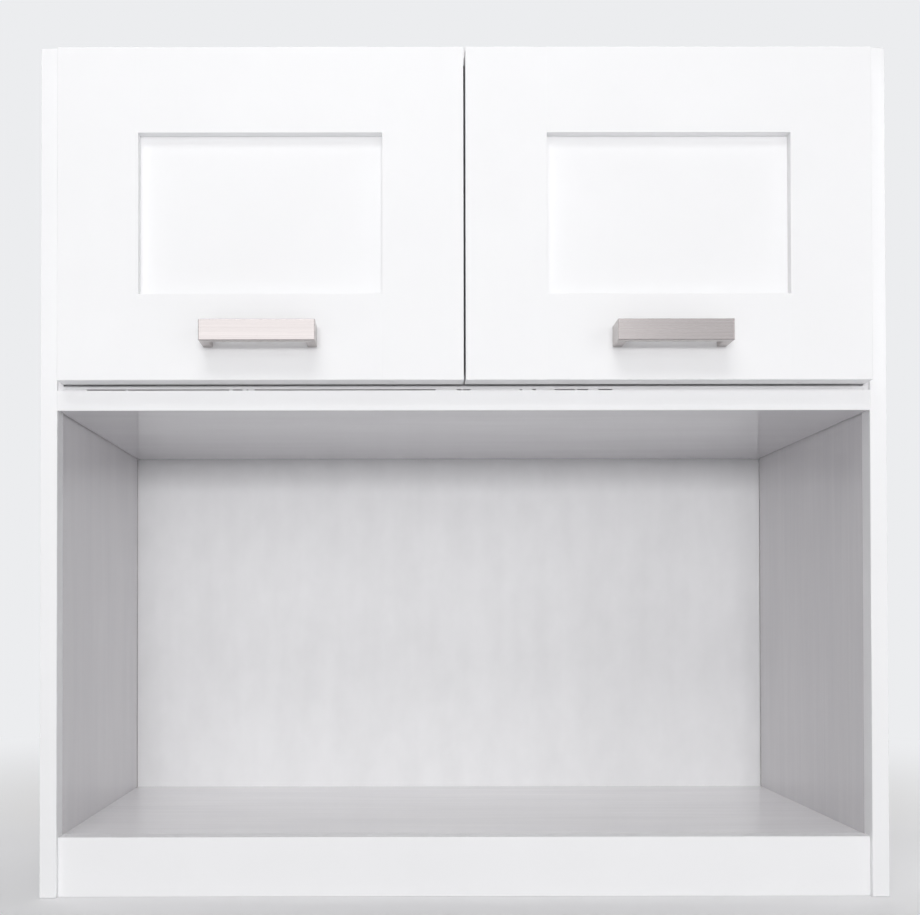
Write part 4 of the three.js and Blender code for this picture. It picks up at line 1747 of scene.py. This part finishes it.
@dataclass
class BarHandle(SubAssembly):
    """A bar handle of square section with a leg at each end, and its two screws."""

    side: Side = Side.LEFT
    leg: float = 9 * MM
    bar: float = 8 * MM
    corner: float = 0.9 * MM
    screw: Screw = Screw(4.2 * MM, 2.2 * MM, 2.2 * MM, 30.2 * MM)
    bore_play: float = 0.3 * MM
    bore_depth: float = 10 * MM

    def build(self) -> None:
        """Model the bar and its screws."""
        self.body = f"{self.side.label}_door"
        node = f"{self.side.label}_handle"
        low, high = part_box(node)
        handle = Bench.block(f"{node}_bar", low, (high.x, low.y + self.bar, high.z))
        rear = facing(Axis.Y.unit)
        Bench.split(handle, rear, Axis.X, (low.x + self.leg, high.x - self.leg))
        legs = (low.x + self.leg / 2, high.x - self.leg / 2)

        def is_foot(centre: Vector, normal: Vector) -> bool:
            """Whether a face is where a leg starts."""
            return rear(centre, normal) and any(abs(centre.x - leg) < NEAR for leg in legs)

        Bench.pull(handle, is_foot, Axis.Y.unit * (high.y - low.y - self.bar))
        Bench.ease(handle, self.corner, self.is_arris(low, high), steps=4)
        for end in End:
            self.fit_screw(handle, end)
        self.hand_over(handle, NICKEL, "satin_nickel", node)

    def is_arris(self, low: Vector, high: Vector) -> PointTest:
        """A test for the bar's own edges, apart from those round its feet and the lines across its faces.

        Args:
            low: the handle's lowest corner
            high: its highest corner

        Returns:
            Whether an edge is one of them.
        """

        def test(start: Vector, end: Vector) -> bool:
            """Whether the edge between two points is an arris.

            Args:
                start: one end
                end: the other end

            Returns:
                Whether it is rounded.
            """
            if min(start.y, end.y) > high.y - NEAR:
                return False
            if not inwards(start, end) and across(start, end):
                return True  # along the bar
            behind = self.bar - NEAR
            if upright(start, end):
                inside = abs(start.x - low.x - self.leg) < NEAR or abs(start.x - high.x + self.leg) < NEAR
                return not inside or start.y > low.y + behind
            at_end = abs(start.x - low.x) < NEAR or abs(start.x - high.x) < NEAR
            return at_end or min(start.y, end.y) > low.y + behind

        return test

    def fit_screw(self, handle: Piece, end: End) -> None:
        """Bore one leg for its screw, and put the screw in from the door's back.

        Args:
            handle: the handle that is worked
            end: which leg it is
        """
        node = f"{self.side.label}_handle_{end.value}_screw"
        low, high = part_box(node)
        middle = (low + high) / 2
        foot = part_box(f"{self.side.label}_handle")[1].y
        start, radius = (middle.x, foot + CLEAR, middle.z), self.screw.shank_radius + self.bore_play
        Bench.cut(handle, Bench.rod("bore", Axis.Y, radius, start, -CLEAR - self.bore_depth))
        pattern = self.screw.model("handle_screw_pattern")
        placing = Matrix.Translation((middle.x, high.y, middle.z)) @ Matrix.Rotation(math.pi / 2, 4, "X")
        self.hand_over(Bench.twin(pattern, f"{node}_steel", placing), ZINC, "zinc_steel", node)
        bpy.data.objects.remove(pattern)


# ---------------------------------------------------------------- studio


@dataclass
class Softbox:
    """A large soft lamp."""

    name: str
    place: tuple[float, float, float]
    target: tuple[float, float, float]
    width: float
    height: float
    power: float
    in_reflections: bool = True

    def build(self) -> None:
        """Put up the lamp, aimed at its target."""
        bpy.ops.object.light_add(type="AREA", location=self.place)
        lamp = bpy.context.active_object
        lamp.name = self.name
        lamp.data.shape = "RECTANGLE"
        lamp.data.size, lamp.data.size_y = self.width, self.height
        lamp.data.energy = self.power
        lamp.visible_camera, lamp.visible_glossy = False, self.in_reflections
        way = Vector(self.target) - Vector(self.place)
        lamp.rotation_euler = way.to_track_quat("-Z", "Y").to_euler()


@dataclass
class Studio:
    """Pale floor, backdrop and soft lamps."""

    floor_radius: float = 40.0
    floor_drop: float = 0.2 * MM
    ambient: str = "#f8f8f9"
    ambient_strength: float = 0.1
    backdrop: str = PAPER.backdrop
    lamps: tuple[Softbox, ...] = (
        Softbox("front_key", (0.0, -4.6, 0.75), (0, 0, 0.5), 1.8, 0.5, 65, in_reflections=False),
        Softbox("high_front_softbox", (-0.3, -2.3, 2.7), (0, 0, 0.5), 1.8, 1.0, 24.5),
        Softbox("left_softbox", (-0.58, -3.6, 1.2), (0, 0, 0.6), 2.65, 1.4, 14.6),
        Softbox("right_softbox", (2.5, -3.0, 1.25), (0, 0, 0.6), 1.4, 1.3, 12),
        Softbox("left_side_softbox", (-3.0, 0.35, 1.3), (0, 0, 0.4), 1.6, 1.6, 23, in_reflections=False),
        Softbox("right_side_softbox", (3.0, 0.35, 1.3), (0, 0, 0.4), 1.6, 1.6, 23, in_reflections=False),
        Softbox("top_softbox", (0.2, 0.1, 3.0), (0, 0, 0), 2.6, 2.6, 15),
        Softbox("rear_softbox", (0.6, 3.2, 1.6), (0, 0, 0.4), 2.4, 2.0, 32),
    )

    def build(self) -> None:
        """Lay the floor, hang the lamps and set the world."""
        Bench.clear()
        bpy.ops.mesh.primitive_circle_add(
            vertices=128, radius=self.floor_radius, fill_type="NGON", location=(0, 0, -self.floor_drop)
        )
        floor = Bench.started("studio_floor")
        floor.data.materials.append(PAPER.material())
        for lamp in self.lamps:
            lamp.build()
        self.set_world()

    def set_world(self) -> None:
        """Light evenly from all round, and show the backdrop's own tone to the camera and in reflections."""
        world = bpy.data.worlds.new("studio_world")
        bpy.context.scene.world = world
        world.use_nodes = True
        tree = world.node_tree
        tree.nodes.clear()
        around = {"Color": linear(self.ambient), "Strength": self.ambient_strength}
        lit = add(tree, "ShaderNodeBackground", around).outputs[0]
        seen = add(tree, "ShaderNodeBackground", {"Color": linear(self.backdrop), "Strength": 1.0}).outputs[0]
        ray = add(tree, "ShaderNodeLightPath").outputs
        direct = {0: ray["Is Camera Ray"], 1: ray["Is Glossy Ray"]}
        near = add(tree, "ShaderNodeMath", direct, operation="MAXIMUM").outputs[0]
        through = {0: near, 1: ray["Is Transmission Ray"]}
        share = add(tree, "ShaderNodeMath", through, operation="MAXIMUM").outputs[0]
        mixed = add(tree, "ShaderNodeMixShader", {0: share, 1: lit, 2: seen}).outputs[0]
        add(tree, "ShaderNodeOutputWorld", {"Surface": mixed})


@dataclass
class PhotoCamera:
    """A camera at the photograph's place. Its shift keeps the cabinet's uprights upright."""

    place: tuple[float, float, float] = (-0.0607, -1.2466, 0.2601)
    lens: float = 45.71
    upward: float = 0.01216
    rightward: float = 0.00091
    roll: float = -0.00133
    shift: tuple[float, float] = (0.0649, 0.16)
    nearest: float = 0.05
    farthest: float = 200

    def build(self) -> None:
        """Put up the camera and make it the scene's."""
        bpy.ops.object.camera_add(location=self.place)
        camera = bpy.context.active_object
        camera.name = "photo_camera"
        turn = Matrix.Rotation(-self.rightward, 3, "Z") @ Matrix.Rotation(math.pi / 2 + self.upward, 3, "X")
        camera.rotation_euler = (turn @ Matrix.Rotation(self.roll, 3, "Z")).to_euler()
        camera.data.lens = self.lens
        camera.data.shift_x, camera.data.shift_y = self.shift
        camera.data.clip_start, camera.data.clip_end = self.nearest, self.farthest
        bpy.context.scene.camera = camera


def main() -> None:
    """Build the cabinet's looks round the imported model."""
    logging.basicConfig(level=logging.INFO, format="%(message)s")
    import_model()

    bpy.context.scene.view_settings.view_transform = "Standard"
    PhotoCamera().build()
    Studio().build()

    for side in Side:
        Gable(side=side).build()
    Niche().build()
    SHELF_BEARERS.build()
    UpperBox().build()
    WALL_RAILS.build()
    for side in Side:
        Door(side=side).build()
        BarHandle(side=side).build()
    patterns = HingePatterns(HINGE)
    for side in Side:
        for level in Level:
            Hinge(side, level).build(patterns)
    patterns.clear_away()
    Bench.clear()


if __name__ == "__main__":
    main()
